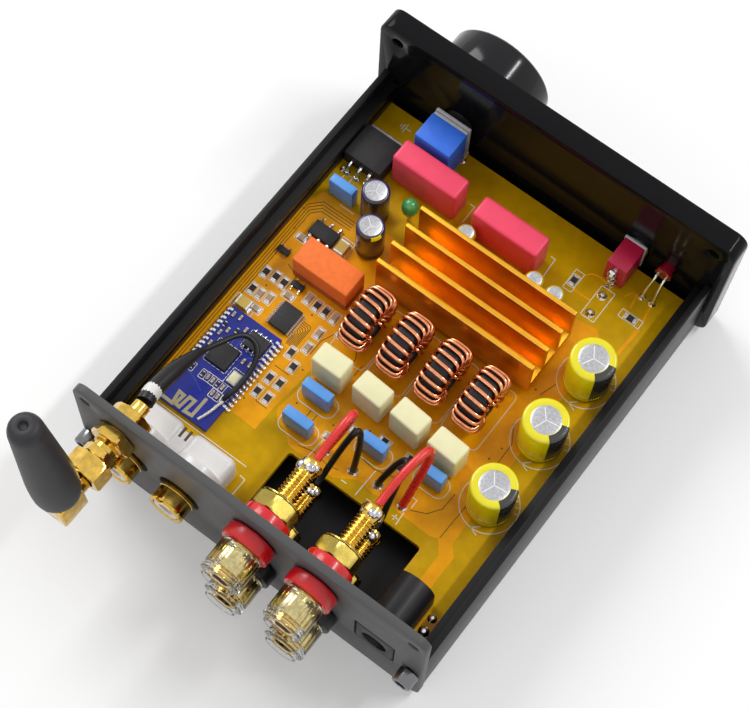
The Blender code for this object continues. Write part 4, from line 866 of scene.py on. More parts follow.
    def package(self, name: str, centre: Pair, size: Triple, legs: int, pitch: float, leg: float, reach: float,
                on_x: bool) -> None:
        """A moulded package with bent legs along two sides.

        Args:
            name: the piece's name.
            centre: its middle on the board.
            size: width, depth and height of the mould.
            legs: how many legs a side has.
            pitch: distance between them.
            leg: width of one.
            reach: how far they stand out.
            on_x: whether they stand on the sides towards X and not towards Y.
        """
        (x, y), (width, depth, height) = centre, size
        base = self.top + self.film
        piece = Maker(name)
        piece.box(RESIN, (x - width / 2, y - depth / 2, base + 0.1), (x + width / 2, y + depth / 2, base + height), 0.12, 2)
        for side in (-1, 1):
            edge = side * (width if on_x else depth) / 2
            steps = [(edge - side * 0.1, height * 0.5), (edge + side * reach * 0.35, height * 0.45),
                     (edge + side * reach * 0.6, 0.12), (edge + side * reach, 0.08)]
            for i in range(legs):
                along = (i - (legs - 1) / 2) * pitch
                points = [(x + out, y + along, base + up) if on_x else (x + along, y + out, base + up)
                          for out, up in steps]
                piece.wire(TINNED, points, leg / 2, 6)
        piece.make(Body.CASE)


@dataclass
class Can:
    """An upright electrolytic capacitor in a shrunk sleeve.

    Attributes:
        centre: its middle on the board.
        foot: the height of its underside.
        radius: outer radius of the sleeve.
        height: its whole height.
        sleeve: the sleeve's surface.
        stripe: the surface of the stripe on it.
        stripe_at: where the stripe is, in degrees from +X.
        stripe_wide: how wide the stripe is, in degrees.
        bare: radius of the bare top, as a share of the outer radius.
        score_highlight: pale strips on the vent's scores that paint their highlight, or none.
        score_at: where the first score points, in degrees from +X.
    """

    centre: Pair
    foot: float
    radius: float
    height: float
    sleeve: Finish
    stripe: Finish
    stripe_at: float = 90.0
    stripe_wide: float = 50.0
    bare: float = 0.68
    score_highlight: Finish | None = None
    score_at: float = 66.7

    def build(self, into: Maker) -> None:
        """Adds the can to a piece: sleeve, bare top with its scored vent, groove and stripe."""
        r, h = self.radius, self.height
        bead, rim = 0.07 * r, self.bare * r
        x, y = self.centre
        sleeve = [
            (0, 0), (r - 0.5, 0), (r - 0.15, 0.15), (r, 0.5), (r, 1.2), (r - bead, 1.65), (r - bead, 1.85), (r, 2.3),
            (r, h - 0.75), (r - 0.08, h - 0.4), (r - 0.26, h - 0.14), (r - 0.55, h - 0.01), (rim + 0.1, h),
            (rim, h - 0.05), (rim - 0.1, h - 0.2), (0, h - 0.22),
        ]
        into.turned(self.sleeve, sleeve, (x, y, self.foot), Axis.Z, 56)
        top = [(0, h - 0.14), (rim - 0.5, h - 0.14), (rim - 0.15, h - 0.07), (rim + 0.02, h - 0.03), (rim + 0.02, h - 0.2)]
        into.turned(CAN_TOP, top, (x, y, self.foot), Axis.Z, 48)
        skin = r + 0.03
        band = [(r - 0.1, 0.55), (skin, 0.6), (skin, 1.15), (skin - bead, 1.62), (skin - bead, 1.88), (skin, 2.35),
                (skin, h - 0.75), (skin - 0.08, h - 0.38), (skin - 0.26, h - 0.12), (skin - 0.55, h + 0.015),
                (rim + 0.12, h + 0.02)]
        into.turned(self.stripe, band, (x, y, self.foot), Axis.Z, 12, self.stripe_at - self.stripe_wide / 2,
                    self.stripe_wide)
        # The vent's scores are pale strips on the bare top: a painted highlight.
        if self.score_highlight:
            for i in range(3):
                angle = math.radians(self.score_at + 120 * i)
                end = Vector((x, y)) + Vector((math.cos(angle), math.sin(angle))) * (rim - 0.35)
                into.strip(self.score_highlight, [(x, y), tuple(end)], 0.045 * r, self.foot + h - 0.2, self.foot + h - 0.09)


@dataclass
class Capacitors:
    """Every capacitor that stands on the board, and the regulator and relay beside them."""

    films: tuple[tuple[float, float, float], ...] = (
        (10.0, 11.6, 0), (-0.4, 11.5, -4), (-10.0, 11.5, -5), (-19.8, 11.9, -4))
    film_size: Triple = (7.6, 5.0, 9.9)
    boxes: tuple[tuple[Pair, Pair], ...] = (
        ((33.7, -23.1), (6.4, 2.2)), ((9.2, 17.5), (7.0, 2.4)), ((8.7, 24.8), (6.8, 2.4)),
        ((-6.8, 19.5), (6.2, 2.4)), ((-20.2, 17.4), (5.8, 2.4)))
    box_height: float = 6.8
    supply: tuple[Pair, ...] = ((26.0, -24.3), (21.9, -17.1))
    small: tuple[Pair, ...] = ((6.1, -30.0), (-11.7, -30.0), (-17.0, -29.9))
    drop: Pair = (19.1, -27.5)
    foot: float = 12.0

    def build(self) -> None:
        """Makes the capacitors, regulator and relay."""
        for number, (x, y, turn) in enumerate(self.films, 1):
            self.film(number, x, y, turn)
        for number in (1, 2):
            self.coupling(number)
        self.bypass()
        self.cans()
        self.resin_drop()
        self.relay()
        self.regulator()

    def film(self, number: int, x: float, y: float, turn: float) -> None:
        """A cream film box with its potted underside."""
        width, depth, height = self.film_size
        low = (x - width / 2, y - depth / 2, self.foot + 0.5)
        high = (x + width / 2, y + depth / 2, self.foot + height + 0.2)
        piece = Maker(f"film_box_{number}")
        piece.box(CREAM, low, high, 0.55, 4, turn)
        piece.box(CREAM, (low[0] + 0.6, low[1] + 0.4, self.foot), (high[0] - 0.6, high[1] - 0.4, low[2] + 0.4), 0.1, 1,
                  turn)
        piece.make(Body.CASE, [f"film_capacitor_{number}"])

    def coupling(self, number: int) -> None:
        """A pink film box."""
        low, high = span(f"coupling_capacitor_{number}")
        piece = Maker(f"coupling_box_{number}")
        piece.box(PINK, tuple(low), tuple(high), 0.75, 5)
        piece.make(Body.CASE, [f"coupling_capacitor_{number}"])

    def bypass(self) -> None:
        """The small blue film boxes on their leads."""
        for number, ((x, y), (width, depth)) in enumerate(self.boxes, 1):
            piece = Maker(f"bypass_box_{number}")
            top = 11.9 + self.box_height
            piece.box(SKY_BLUE, (x - width / 2, y - depth / 2, self.foot + 0.4), (x + width / 2, y + depth / 2, top),
                      0.3, 3)
            along = Vector((1, 0)) if width > depth else Vector((0, 1))
            for side in (-1, 1):
                spot = Vector((x, y)) + along * side * (max(width, depth) / 2 - 1.0)
                piece.bar(TINNED, 0.28, (spot.x, spot.y, 11.8), 1.0, Axis.Z, 10, 0.05)
            piece.make(Body.CASE)

    def cans(self) -> None:
        """The reservoir, supply and small electrolytic cans."""
        for number in (1, 2, 3):
            node = f"reservoir_capacitor_{number}"
            low, high = span(node)
            at = middle(node)
            piece = Maker(f"reservoir_can_{number}")
            can = Can((at.x, at.y), low.z, (high.x - low.x) / 2, high.z - low.z - 0.05, YELLOW_SLEEVE, BLACK_SLEEVE,
                      (160, 166, 172)[number - 1], 66, 0.64, SCORE_PAINTED_HIGHLIGHT, (62, 70, 66.7)[number - 1])
            can.build(piece)
            piece.make(Body.CASE, [node])
        for number, spot in enumerate(self.supply, 1):
            piece = Maker(f"supply_can_{number}")
            Can(spot, 11.95, 3.15, 11.1, NAVY_SLEEVE, DARK_STRIPE, 128, 100, 0.76, SCORE_PAINTED_HIGHLIGHT, 40 * number).build(piece)
            if number == 2:
                mark = [(2.5, 11.12), (2.95, 10.98), (3.2, 10.6), (3.2, 9.8)]
                piece.turned(YELLOW_SLEEVE, mark, (*spot, 11.95), Axis.Z, 8, 128, 44)
            piece.make(Body.CASE)
        for number, spot in enumerate(self.small, 1):
            piece = Maker(f"small_can_{number}")
            Can(spot, 11.95, 2.2, 6.9, DULL_YELLOW, DARK_STRIPE, 60, 60, 0.76).build(piece)
            piece.make(Body.CASE)

    def resin_drop(self) -> None:
        """The dipped green capacitor."""
        radius, height = 1.9, 9.4
        shares = [(0, 1), (0.42, 0.975), (0.75, 0.92), (0.95, 0.84), (1, 0.75), (0.93, 0.64), (0.75, 0.52),
                  (0.5, 0.42), (0.34, 0.34), (0.26, 0.25), (0, 0.22)]
        piece = Maker("green_drop")
        piece.turned(GREEN, [(r * radius, h * height) for r, h in shares], (*self.drop, 11.5), Axis.Z, 32)
        for side in (-0.35, 0.35):
            piece.bar(TINNED, 0.25, (self.drop[0] + side, self.drop[1], 11.8), 2.4, Axis.Z, 10, 0.05)
        piece.make(Body.CASE)

    def relay(self) -> None:
        """The orange relay: a lid on a rougher potted foot."""
        low, high = span("relay")
        piece = Maker("relay_case")
        piece.box(ORANGE, (low.x, low.y, low.z + 2.2), tuple(high), 0.3, 3)
        piece.box(POTTING, (low.x + 0.06, low.y + 0.06, low.z), (high.x - 0.06, high.y - 0.06, low.z + 2.4), 0.12, 1)
        piece.make(Body.CASE, ["relay"])

    def regulator(self) -> None:
        """The flat regulator with its metal tab's edge and three formed leads."""
        x, y, width, depth, height = 34.3, -34.9, 9.8, 8.8, 4.4
        piece = Maker("regulator")
        piece.box(RESIN, (x - width / 2, y - depth / 2, 12.1), (x + width / 2, y + depth / 2, 11.9 + height), 0.3, 2)
        piece.box(PLATED, (x - width / 2, y - depth / 2 - 1.7, 12.0), (x + width / 2, y - depth / 2 + 1, 13.4), 0.15, 1)
        for i in (-1, 0, 1):
            lead = x + i * 2.54
            rear = y + depth / 2
            route = [(lead, rear - 0.5, 14.2), (lead, rear + 0.9, 14.2), (lead, rear + 1.5, 13.6),
                     (lead, rear + 1.8, 12.5), (lead, rear + 1.9, 11.9)]
            piece.wire(TINNED, smooth_route(route, 12), 0.45, 8)
            piece.turned(TINNED, [(0, 0.8), (0.5, 0.7), (0.8, 0.3), (0.95, 0), (0, 0)], (lead, rear + 1.9, 11.9), Axis.Z, 16)
        piece.make(Body.CASE)


@dataclass
class PowerStage:
    """The amplifier chip, its finned heatsink and the four filter coils."""

    outer: float = 6.3
    inner: float = 3.9
    width: float = 4.6
    wire: float = 0.47
    turns: int = 17
    opening: float = 46.0

    def build(self) -> None:
        """Makes the chip, heatsink and coils."""
        chip = Maker("amplifier_package")
        low, high = span("amplifier_chip")
        chip.box(RESIN, tuple(low), tuple(high), 0.1, 2)
        chip.make(Body.CASE, ["amplifier_chip"])
        sink = Maker("heatsink_fins")
        sink.copy_of("heatsink", GOLD_ANODISED, 0.16, 3)
        low, high = span("heatsink")
        # Thin bright strips along each fin's top edges are a painted highlight.
        for i in range(4):
            at = low.y + 0.5 + (high.y - low.y - 1.0) * i / 3
            for side in (-1, 1):
                edge = at + side * 0.45
                sink.box(FIN_PAINTED_HIGHLIGHT, (low.x + 0.1, edge - 0.03, high.z - 0.12), (high.x - 0.1, edge + 0.03, high.z - 0.03),
                         0.02, 1)
        sink.make(Body.CASE, ["heatsink"])
        for number in (1, 2, 3, 4):
            self.coil(number)

    def coil(self, number: int) -> None:
        """One ring core with its single layer of enamelled wire."""
        centre = middle(f"toroid_core_{number}")
        half, soft = self.width / 2, 0.9
        section = [*arc((self.outer - soft, half - soft), soft, 90, 0, 5), *arc((self.outer - soft, soft - half), soft, 0, -90, 5),
                   *arc((self.inner + soft, soft - half), soft, -90, -180, 5),
                   *arc((self.inner + soft, half - soft), soft, 180, 90, 5)]
        core = Maker(f"coil_core_{number}")
        core.turned(CORE, section, tuple(centre), Axis.X, 56)
        core.make(Body.CASE, [f"toroid_core_{number}"])
        winding = Maker(f"coil_winding_{number}")
        winding.wire(COPPER, self.path(centre), self.wire, 10)
        winding.make(Body.CASE, [f"toroid_winding_{number}"], 60)

    def path(self, centre: Vector) -> list[Vector]:
        """The wire's own line: up a lead, round the ring turn by turn, and down the other lead."""
        ring = (self.outer + self.inner) / 2
        tall = (self.outer - self.inner) / 2 + self.wire + 0.12
        wide = self.width / 2 + self.wire + 0.12
        power = 0.62
        each = 22
        sweep = math.radians(360 - self.opening)
        first = -math.pi / 2 + math.radians(self.opening) / 2
        points = []
        for i in range(self.turns * each + 1):
            angle = first + sweep * i / (self.turns * each)
            phase = 2 * math.pi * i / each
            out = math.copysign(abs(math.cos(phase)) ** power, math.cos(phase))
            side = math.copysign(abs(math.sin(phase)) ** power, math.sin(phase))
            radius = ring + tall * out
            points.append(Vector((
                centre.x + wide * side, centre.y + radius * math.cos(angle), centre.z + radius * math.sin(angle))))
        foot = 12.2
        start = Vector((points[0].x, points[0].y, foot))
        end = Vector((points[-1].x, points[-1].y, foot))
        return [start, *points, end]


@dataclass
class FrontControls:
    """The volume control and knob, the power switch and the lamp."""

    def build(self) -> None:
        """Makes the controls."""
        self.pot()
        self.knob()
        self.switch()
        self.lever()
        self.lamp()

    def pot(self) -> None:
        """The volume control's blue body, steel plate and threaded bushing."""
        low, high = span("volume_pot")
        at = middle("volume_knob")
        plate_face = -48.55
        body = Maker("pot_body")
        body.box(POT_BLUE, (low.x, plate_face + 1.7, low.z), (high.x, high.y, high.z), 0.3, 3)
        body.box(PLATED, (low.x + 0.1, plate_face, low.z), (high.x - 0.1, plate_face + 0.75, high.z), 0.12, 2)
        body.box(PLATED, (low.x + 0.2, plate_face + 0.9, low.z), (high.x - 0.2, plate_face + 1.75, high.z - 0.1), 0.12, 2)
        body.box(DARK_STEEL_AND_SHADE, (low.x + 0.4, plate_face + 0.6, low.z), (high.x - 0.4, plate_face + 1.0, high.z - 0.5), 0, 1)
        body.turned(TINNED, [(0, 0.7), (0.5, 0.6), (0.8, 0.2), (0.9, 0), (0, 0)], (low.x - 0.3, high.y - 1.4, 11.9), Axis.Z, 16)
        profile = [(2.8, 0), (2.8, 9.0), (3.3, 9.0)]
        for i in range(20):
            profile += [(3.5, 8.6 - i * 0.4), (3.32, 8.4 - i * 0.4)]
        profile += [(3.5, 0.4), (3.5, 0)]
        body.turned(DARK_STEEL_AND_SHADE, profile, (at.x, plate_face + 0.3, at.z), Axis.FRONT, 32)
        body.make(Body.CASE, ["volume_pot"])
        shaft = Maker("pot_spindle")
        shaft.copy_of("pot_shaft", STEEL)
        shaft.make(Body.KNOB, ["pot_shaft"])

    def knob(self) -> None:
        """The turned knob: a straight side, a small chamfer and a shallow dish with a line to read."""
        low, high = span("volume_knob")
        at = middle("volume_knob")
        radius, length = (high.x - low.x) / 2, high.y - low.y
        profile = [
            (2.8, 4.0), (6.8, 4.0), (6.9, 0.1), (7.0, 0), (radius - 0.5, 0), (radius - 0.12, 0.12), (radius, 0.45),
            (radius, length - 0.8), (radius - 0.12, length - 0.5), (radius - 0.5, length - 0.12), (radius - 0.9, length),
            (radius * 0.90, length), (radius * 0.885, length - 0.1), (radius * 0.86, length - 0.55), (radius * 0.84, length - 0.6),
            (0, length - 0.6),
        ]
        knob = Maker("knob_turned")
        knob.turned(KNOB_BLACK, [(0, 4.0), *profile], (at.x, high.y, at.z), Axis.FRONT, 128)
        knob.box(INK, (at.x - 0.35, low.y + 0.52, at.z + radius * 0.45), (at.x + 0.35, low.y + 0.7, at.z + radius * 0.8),
                 0.05, 1)
        knob.make(Body.KNOB, ["volume_knob"])

    def switch(self) -> None:
        """The toggle switch: red body, steel frame, threaded bush, nut and solder tags."""
        x, z = -24.2, 16.5
        body = Maker("switch_case")
        face = -49.25
        body.box(SWITCH_RED, (x - 2.5, face, z - 4.1), (x + 2.5, face + 7.0, z + 4.1), 0.25, 3)
        body.box(PLATED, (x - 2.7, face - 0.5, z - 4.1), (x + 2.7, face + 0.12, z + 4.2), 0.08, 1)
        for i in (-1, 0, 1):
            body.box(TINNED, (x - 0.4, face + 6.9, z + i * 2.5 - 0.5), (x + 0.4, face + 9.2, z + i * 2.5 + 0.5), 0.08, 1)
            lump = [(0, 1.5), (0.6, 1.35), (0.95, 0.9), (1.05, 0.4), (0.8, 0), (0, 0)]
            body.turned(TINNED, lump, (x + 0.2 * i, face + 8.1, z + i * 2.4 - 0.7), Axis.Z, 18)
        profile = [(2.1, 0), (2.1, 8.7), (2.6, 8.8)]
        for i in range(21):
            profile += [(2.9, 8.4 - i * 0.4), (2.72, 8.2 - i * 0.4)]
        profile += [(2.9, 0)]
        body.turned(STEEL, profile, (x, face, z), Axis.FRONT, 32)
        body.hexagon(STEEL, 7.8, (x, -55.35 - 0.3, z), 1.3, Axis.FRONT, 30, 2.9)
        body.make(Body.CASE, ["switch_body"])

    def lever(self) -> None:
        """The switch lever."""
        lever = Maker("toggle_lever")
        profile = [(0, -1.8), (0.9, -1.5), (1.5, -1.0), (1.8, 0), (1.55, 0.8), (1.15, 1.4), (1.1, 2.4), (1.25, 4.6),
                   (1.35, 5.4), (1.2, 6.1), (0.8, 6.35), (0, 6.4)]
        tilt = Matrix.Translation((-24.2, -56.25, 16.5)) @ Axis.FRONT.turn() @ Matrix.Rotation(math.radians(12), 4, "X")
        angles = [2 * math.pi * i / 28 for i in range(28)]
        rings = [[Vector((r * math.cos(a), r * math.sin(a), h)) for a in angles] for r, h in profile]
        lever.skin(STEEL, rings, tilt, True, False)
        lever.make(Body.LEVER, ["switch_lever"])

    def lamp(self) -> None:
        """The red lamp and its two formed leads."""
        x, z = -32.5, 17.1
        back = -48.15
        lamp = Maker("lamp_bulb")
        dome = [(1.5 * math.cos(math.radians(a)), 3.8 + 1.5 * math.sin(math.radians(a))) for a in range(90, -1, -15)]
        dome[0] = (0, 5.3)
        lamp.turned(RED_LENS, [*dome, (1.5, 1.0), (1.9, 0.9), (1.9, 0.1), (1.7, 0), (0, 0)], (x, back, z), Axis.FRONT, 32)
        for side in (-1, 1):
            inner, foot = x + side * 1.02, x + side * 1.27
            route = [(inner, back - 0.5, z), (inner, back + 0.9, z), (inner, back + 1.7, z - 0.5),
                     (foot, -44.6, z - 3.0), (foot, -43.8, 12.7), (foot, -43.7, 11.9)]
            lamp.wire(LEAD, smooth_route(route, 18), 0.33, 10)
        lamp.make(Body.CASE, ["led"])


@dataclass
class RadioModule:
    """The blue bluetooth module with its chips, printed aerial and the pads along its edges."""

    edge_right: tuple[float, ...] = tuple(12.6 + 1.19 * i for i in range(11))
    edge_left: tuple[float, ...] = tuple(12.8 + 1.19 * i for i in range(16))
    wave: tuple[Pair, ...] = (
        (35.7, 36.6), (32.6, 36.7), (33.0, 33.8), (31.7, 33.9), (32.0, 36.4), (30.9, 36.5), (30.5, 33.5), (29.1, 33.5),
        (29.5, 36.6), (27.6, 36.4), (27.5, 31.6))
    groups: tuple[Pair, ...] = (
        (26.4, 27.7), (27.7, 27.7), (29.0, 27.7), (30.3, 27.7), (31.6, 27.8), (26.0, 29.9), (27.3, 29.9), (34.5, 27.8))
    silvers: tuple[Pair, ...] = (
        (34.9, 13.3), (33.2, 13.1), (35.0, 16.2), (34.7, 18.3), (33.6, 16.9), (32.0, 15.9), (30.6, 14.6), (34.8, 21.4),
        (34.8, 23.9), (25.0, 20.3), (26.6, 20.5))
    traces: tuple[tuple[Pair, ...], ...] = (
        ((33.6, 24.0), (35.6, 25.2), (35.6, 29.6)), ((33.6, 21.8), (34.2, 21.8)), ((27.5, 31.6), (27.5, 30.7)),
        ((28.0, 24.2), (27.2, 24.2)), ((28.0, 21.4), (26.0, 19.0), (24.4, 18.8)), ((30.0, 19.0), (30.0, 17.0)),
        ((31.2, 19.0), (31.2, 17.2)), ((32.4, 19.0), (32.8, 17.6)), ((34.6, 29.0), (32.4, 29.6), (29.6, 31.0)))

    def build(self) -> None:
        """Makes the module's board and what is on it."""
        low, high = span("bluetooth_module")
        top = low.z + 1.0
        board = Maker("radio_board")
        board.box(MODULE_BLUE, tuple(low), (high.x, high.y, top), 0.05, 1)
        for side, places in ((high.x, self.edge_right), (low.x, self.edge_left)):
            inward = -1 if side == high.x else 1
            for y in places:
                ends = sorted((side + inward * 0.75, side - inward * 0.02))
                board.box(TINNED, (ends[0], y - 0.3, low.z - 0.04), (ends[1], y + 0.3, top + 0.03), 0.04, 1)
                ends = sorted((side, side - inward * 0.95))
                board.box(TINNED, (ends[0], y - 0.34, low.z - 0.06), (ends[1], y + 0.34, low.z + 0.3), 0.12, 2)
        board.make(Body.CASE, ["bluetooth_module"])
        self.chips(top)
        self.print(top)
        self.little_parts(top)

    def chips(self, top: float) -> None:
        """The radio chip, the crystal in its metal lid, and the memory with its legs."""
        chips = Maker("radio_chips")
        chips.box(RESIN, (28.3, 19.4, top), (33.6, 24.8, top + 0.85), 0.08, 2)
        chips.turned(BLACK, [(0, 0.03), (0.32, 0.03), (0.32, 0), (0, 0)], (32.8, 24.0, top + 0.84), Axis.Z, 16)
        chips.box(CAN_TOP, (24.45, 23.15, top), (26.85, 26.25, top + 0.6), 0.2, 3)
        chips.box(CREAM, (24.75, 23.5, top + 0.3), (26.55, 25.9, top + 0.72), 0.12, 2)
        chips.box(RESIN, (24.4, 13.9, top + 0.1), (29.2, 17.7, top + 1.2), 0.12, 2)
        for i in range(4):
            x = 26.8 + (i - 1.5) * 1.27
            for side in (-1, 1):
                edge = 15.8 + side * 1.85
                route = [(x, edge, top + 0.6), (x, edge + side * 0.3, top + 0.55), (x, edge + side * 0.5, top + 0.12),
                         (x, edge + side * 0.85, top + 0.1)]
                chips.wire(TINNED, route, 0.21, 8)
        chips.make(Body.CASE)

    def print(self, top: float) -> None:
        """The bare aerial line, the white marks round the chips and groups, and the tracks."""
        marks = Maker("radio_marks")
        marks.strip(KHAKI, self.wave, 0.75, top, top + 0.03)
        for points in self.traces:
            marks.strip(MODULE_TRACE, points, 0.2, top, top + 0.02)
        for x0, y0, x1, y1 in ((28.0, 19.1, 33.9, 25.1), (23.9, 22.6, 27.3, 26.7), (24.1, 13.5, 29.5, 18.1)):
            for (ax, ay), (bx, by) in (((x0, y0), (x1, y0)), ((x1, y0), (x1, y1)), ((x1, y1), (x0, y1)), ((x0, y1), (x0, y0))):
                for k in range(5):
                    a, b = (k + 0.12) / 5, (k + 0.88) / 5
                    dash = [(ax + (bx - ax) * a, ay + (by - ay) * a), (ax + (bx - ax) * b, ay + (by - ay) * b)]
                    marks.strip(INK, dash, 0.14, top, top + 0.03)
        for x, y in self.groups:
            marks.strip(INK, rounded((x - 0.62, y - 1.05), (x + 0.62, y + 1.05), 0.1, 1), 0.13, top, top + 0.03, True)
        marks.make(Body.CASE)

    def little_parts(self, top: float) -> None:
        """The tiny capacitors and resistors, and the streak of solder at the aerial lead's end."""
        small = Maker("radio_small_parts")
        for number, (x, y) in enumerate((*self.groups, *self.silvers)):
            face = (CHIP_CERAMIC, RESIN, CHIP_CERAMIC)[number % 3]
            small.box(face, (x - 0.3, y - 0.4, top), (x + 0.3, y + 0.4, top + 0.4), 0.05, 1)
            for side in (-1, 1):
                ends = sorted((y + side * 0.34, y + side * 0.66))
                small.box(TINNED, (x - 0.33, ends[0], top), (x + 0.33, ends[1], top + 0.43), 0.09, 1)
        streak = smooth_route([(26.1, 36.4, top + 0.1), (25.3, 34.2, top + 0.2), (24.8, 32.2, top + 0.35),
                               (24.4, 30.3, top + 0.55), (24.3, 29.5, top + 0.3)], 20)
        small.wire(TINNED, streak, 0.42, 10)
        small.wire(TINNED, smooth_route([(24.5, 31.4, top + 0.3), (25.1, 30.2, top + 0.25), (25.2, 29.0, top + 0.1)], 10),
                   0.34, 10)
        small.make(Body.CASE)


@dataclass
class RearFittings:
    """The phono sockets, binding posts, aerial connector, aerial and power jack."""

    lobe: float = 5.6

    def build(self) -> None:
        """Makes every fitting at the rear."""
        self.phono()
        for number in (1, 2, 3, 4):
            self.post(number)
        self.connector()
        self.aerial()
        self.jack()

    def phono(self) -> None:
        """The white housing of the phono sockets, with painted shade for its slots, and their plated barrels."""
        housing = Maker("phono_housing")
        low, _ = span("rca_housing")
        xs = [middle(f"rca_sleeve_{number}").x for number in (1, 2)]
        foot, front, tall = low.z, 49.05, 18.4
        outline = [(min(xs) - self.lobe, foot), *arc((min(xs), tall), self.lobe, 180, 0, 20),
                   *arc((max(xs), tall), self.lobe, 180, 0, 20), (max(xs) + self.lobe, foot)]
        housing.plate(WHITE, [[(x, -z) for x, z in outline]], (0, front - 3.5, 0), 3.5, Axis.Y, 0.4)
        for x in xs:
            housing.box(WHITE, (x - 5.7, low.y, foot), (x + 5.7, front - 1.5, foot + 7.7), 1.9, 6)
        between = sum(xs) / 2
        housing.box(WHITE, (between - 2.2, low.y + 1.2, foot), (between + 2.2, front - 1.5, foot + 7.2), 0.4, 2)
        # The slots are thin dark strips on the housing's top, not cut: painted shade.
        for side in (-1, 1):
            middle_x = between + side * 0.75
            housing.box(SLOT_PAINTED_SHADE, (middle_x - 0.3, 40.6, foot + 7.0), (middle_x + 0.3, 43.1, foot + 7.22), 0, 1)
        housing.make(Body.CASE, ["rca_housing"])
        for number, x in enumerate(xs, 1):
            start, end = 49.4, 56.85
            long = end - start
            barrel = Maker(f"phono_barrel_{number}")
            profile = [(3.1, 0), (3.1, long - 0.2), (3.4, long), (3.9, long), (4.1, long - 0.25), (4.15, long - 0.8),
                       (4.0, long - 0.9), (4.0, long - 3.6), (4.15, long - 3.7), (4.15, long - 4.2), (3.6, long - 4.3),
                       (3.55, 1.6), (4.15, 1.5), (4.15, 0)]
            barrel.turned(GOLD, profile, (x, start, tall), Axis.Y, 48)
            barrel.make(Body.CASE, [f"rca_sleeve_{number}"])
            core = Maker(f"phono_insert_{number}")
            core.turned(WHITE, [(1.7, 0), (1.7, 7.0), (1.9, 7.2), (2.9, 7.2), (3.0, 7.1), (3.0, 0)], (x, start, tall), Axis.Y, 40)
            core.make(Body.CASE)

    def post(self, number: int) -> None:
        """A binding post: two collars, the threaded stud with its nut and solder, and the clear cap."""
        at = middle(f"post_insulator_{number}")
        colour, slot = (RED, "red_plastic") if at.z > 20 else (BLACK, "black_plastic")
        collars = Maker(f"post_collars_{number}")
        profile = [(2.5, 5.3), (5.15, 5.3), (5.4, 5.22), (5.5, 5.0), (5.5, 2.4), (5.3, 2.22), (3.8, 2.2), (3.8, -0.3),
                   (4.9, -0.3), (5.2, -0.5), (5.25, -2.6), (5.0, -3.05), (4.7, -3.1), (2.5, -3.1)]
        collars.turned(colour, profile, (at.x, 50.35, at.z), Axis.Y, 56)
        collars.make(Body.CASE, [f"post_insulator_{number}"])
        self.stud(number, at)
        self.cap(number, at)

    def cap(self, number: int, at: Vector) -> None:
        """The clear cap with the fluted metal sleeve that is moulded into it."""
        low, high = span(f"post_cap_{number}")
        length, radius = high.y - low.y, (high.z - low.z) / 2
        cap = Maker(f"post_clear_cap_{number}")
        profile = [(3.3, 0), (3.3, length), (3.6, length), (3.75, length - 0.1), (3.8, length - 0.9), (radius - 0.15, length - 1.0),
                   (radius, length - 1.15), (radius, length - 1.6), (radius - 0.3, length - 1.75),
                   (radius - 0.3, length - 2.3), (radius - 0.02, length - 2.5), (radius, 0.2), (radius - 0.15, 0)]
        cap.turned(CLEAR, profile, (at.x, low.y, at.z), Axis.Y, 56)
        sleeve = [toothed(18, 3.86, 3.5), circle((0, 0), 3.2, 36)]
        cap.plate(FLUTED, sleeve, (at.x, low.y + 0.25, at.z), length * 0.62, Axis.Y, 0.06)
        cap.make([Body.CAP_1, Body.CAP_2, Body.CAP_3, Body.CAP_4][number - 1], [f"post_cap_{number}"])

    def stud(self, number: int, at: Vector) -> None:
        """The stud behind and in front of the rear panel, its nut, and the solder round the wire's end."""
        low, high = span(f"post_stud_{number}")
        stud = Maker(f"post_metal_{number}")
        length = high.y - low.y
        profile = [(0, length - 7.0), (2.05, length - 7.0), (2.05, length - 0.15), (2.2, length), (2.7, length),
                   (2.9, length - 0.2), (2.9, length - 7.1), (2.2, length - 7.3)]
        thread_start, pitch = 2.2, 0.86
        for i in range(int((length - 7.6 - thread_start) / pitch)):
            crest = length - 7.6 - i * pitch
            profile += [(2.3, crest), (2.3, crest - 0.18), (1.92, crest - pitch * 0.5), (1.92, crest - pitch * 0.62)]
        profile += [(2.25, thread_start), (2.4, thread_start - 0.2), (2.45, 0.9), (2.3, 0.4), (1.5, 0.3), (1.5, 1.5), (0, 1.5)]
        stud.turned(GOLD, profile, (at.x, low.y, at.z), Axis.Y, 40)
        stud.hexagon(BRASS, 8.6, (at.x, 43.75, at.z), 3.3, Axis.Y, 8, 2.2)
        stud.turned(BRASS, [(2.2, 0), (4.5, 0), (4.6, 0.1), (4.6, 0.35), (4.5, 0.45), (2.2, 0.45)], (at.x, 43.25, at.z), Axis.Y, 40)
        for i in range(9):
            turn = 2.4 * i
            reach = 1.2 + 0.3 * random.random()
            spot = (at.x + reach * math.cos(turn), low.y + 1.15 + 0.12 * i, at.z + reach * math.sin(turn))
            size = 1.15 + 0.3 * random.random()
            bead = [(size * math.sin(math.radians(a)), -size * math.cos(math.radians(a))) for a in range(0, 181, 15)]
            stud.turned(SOLDER, bead, spot, Axis.Y, 20)
        stud.make(Body.CASE, [f"post_stud_{number}"])

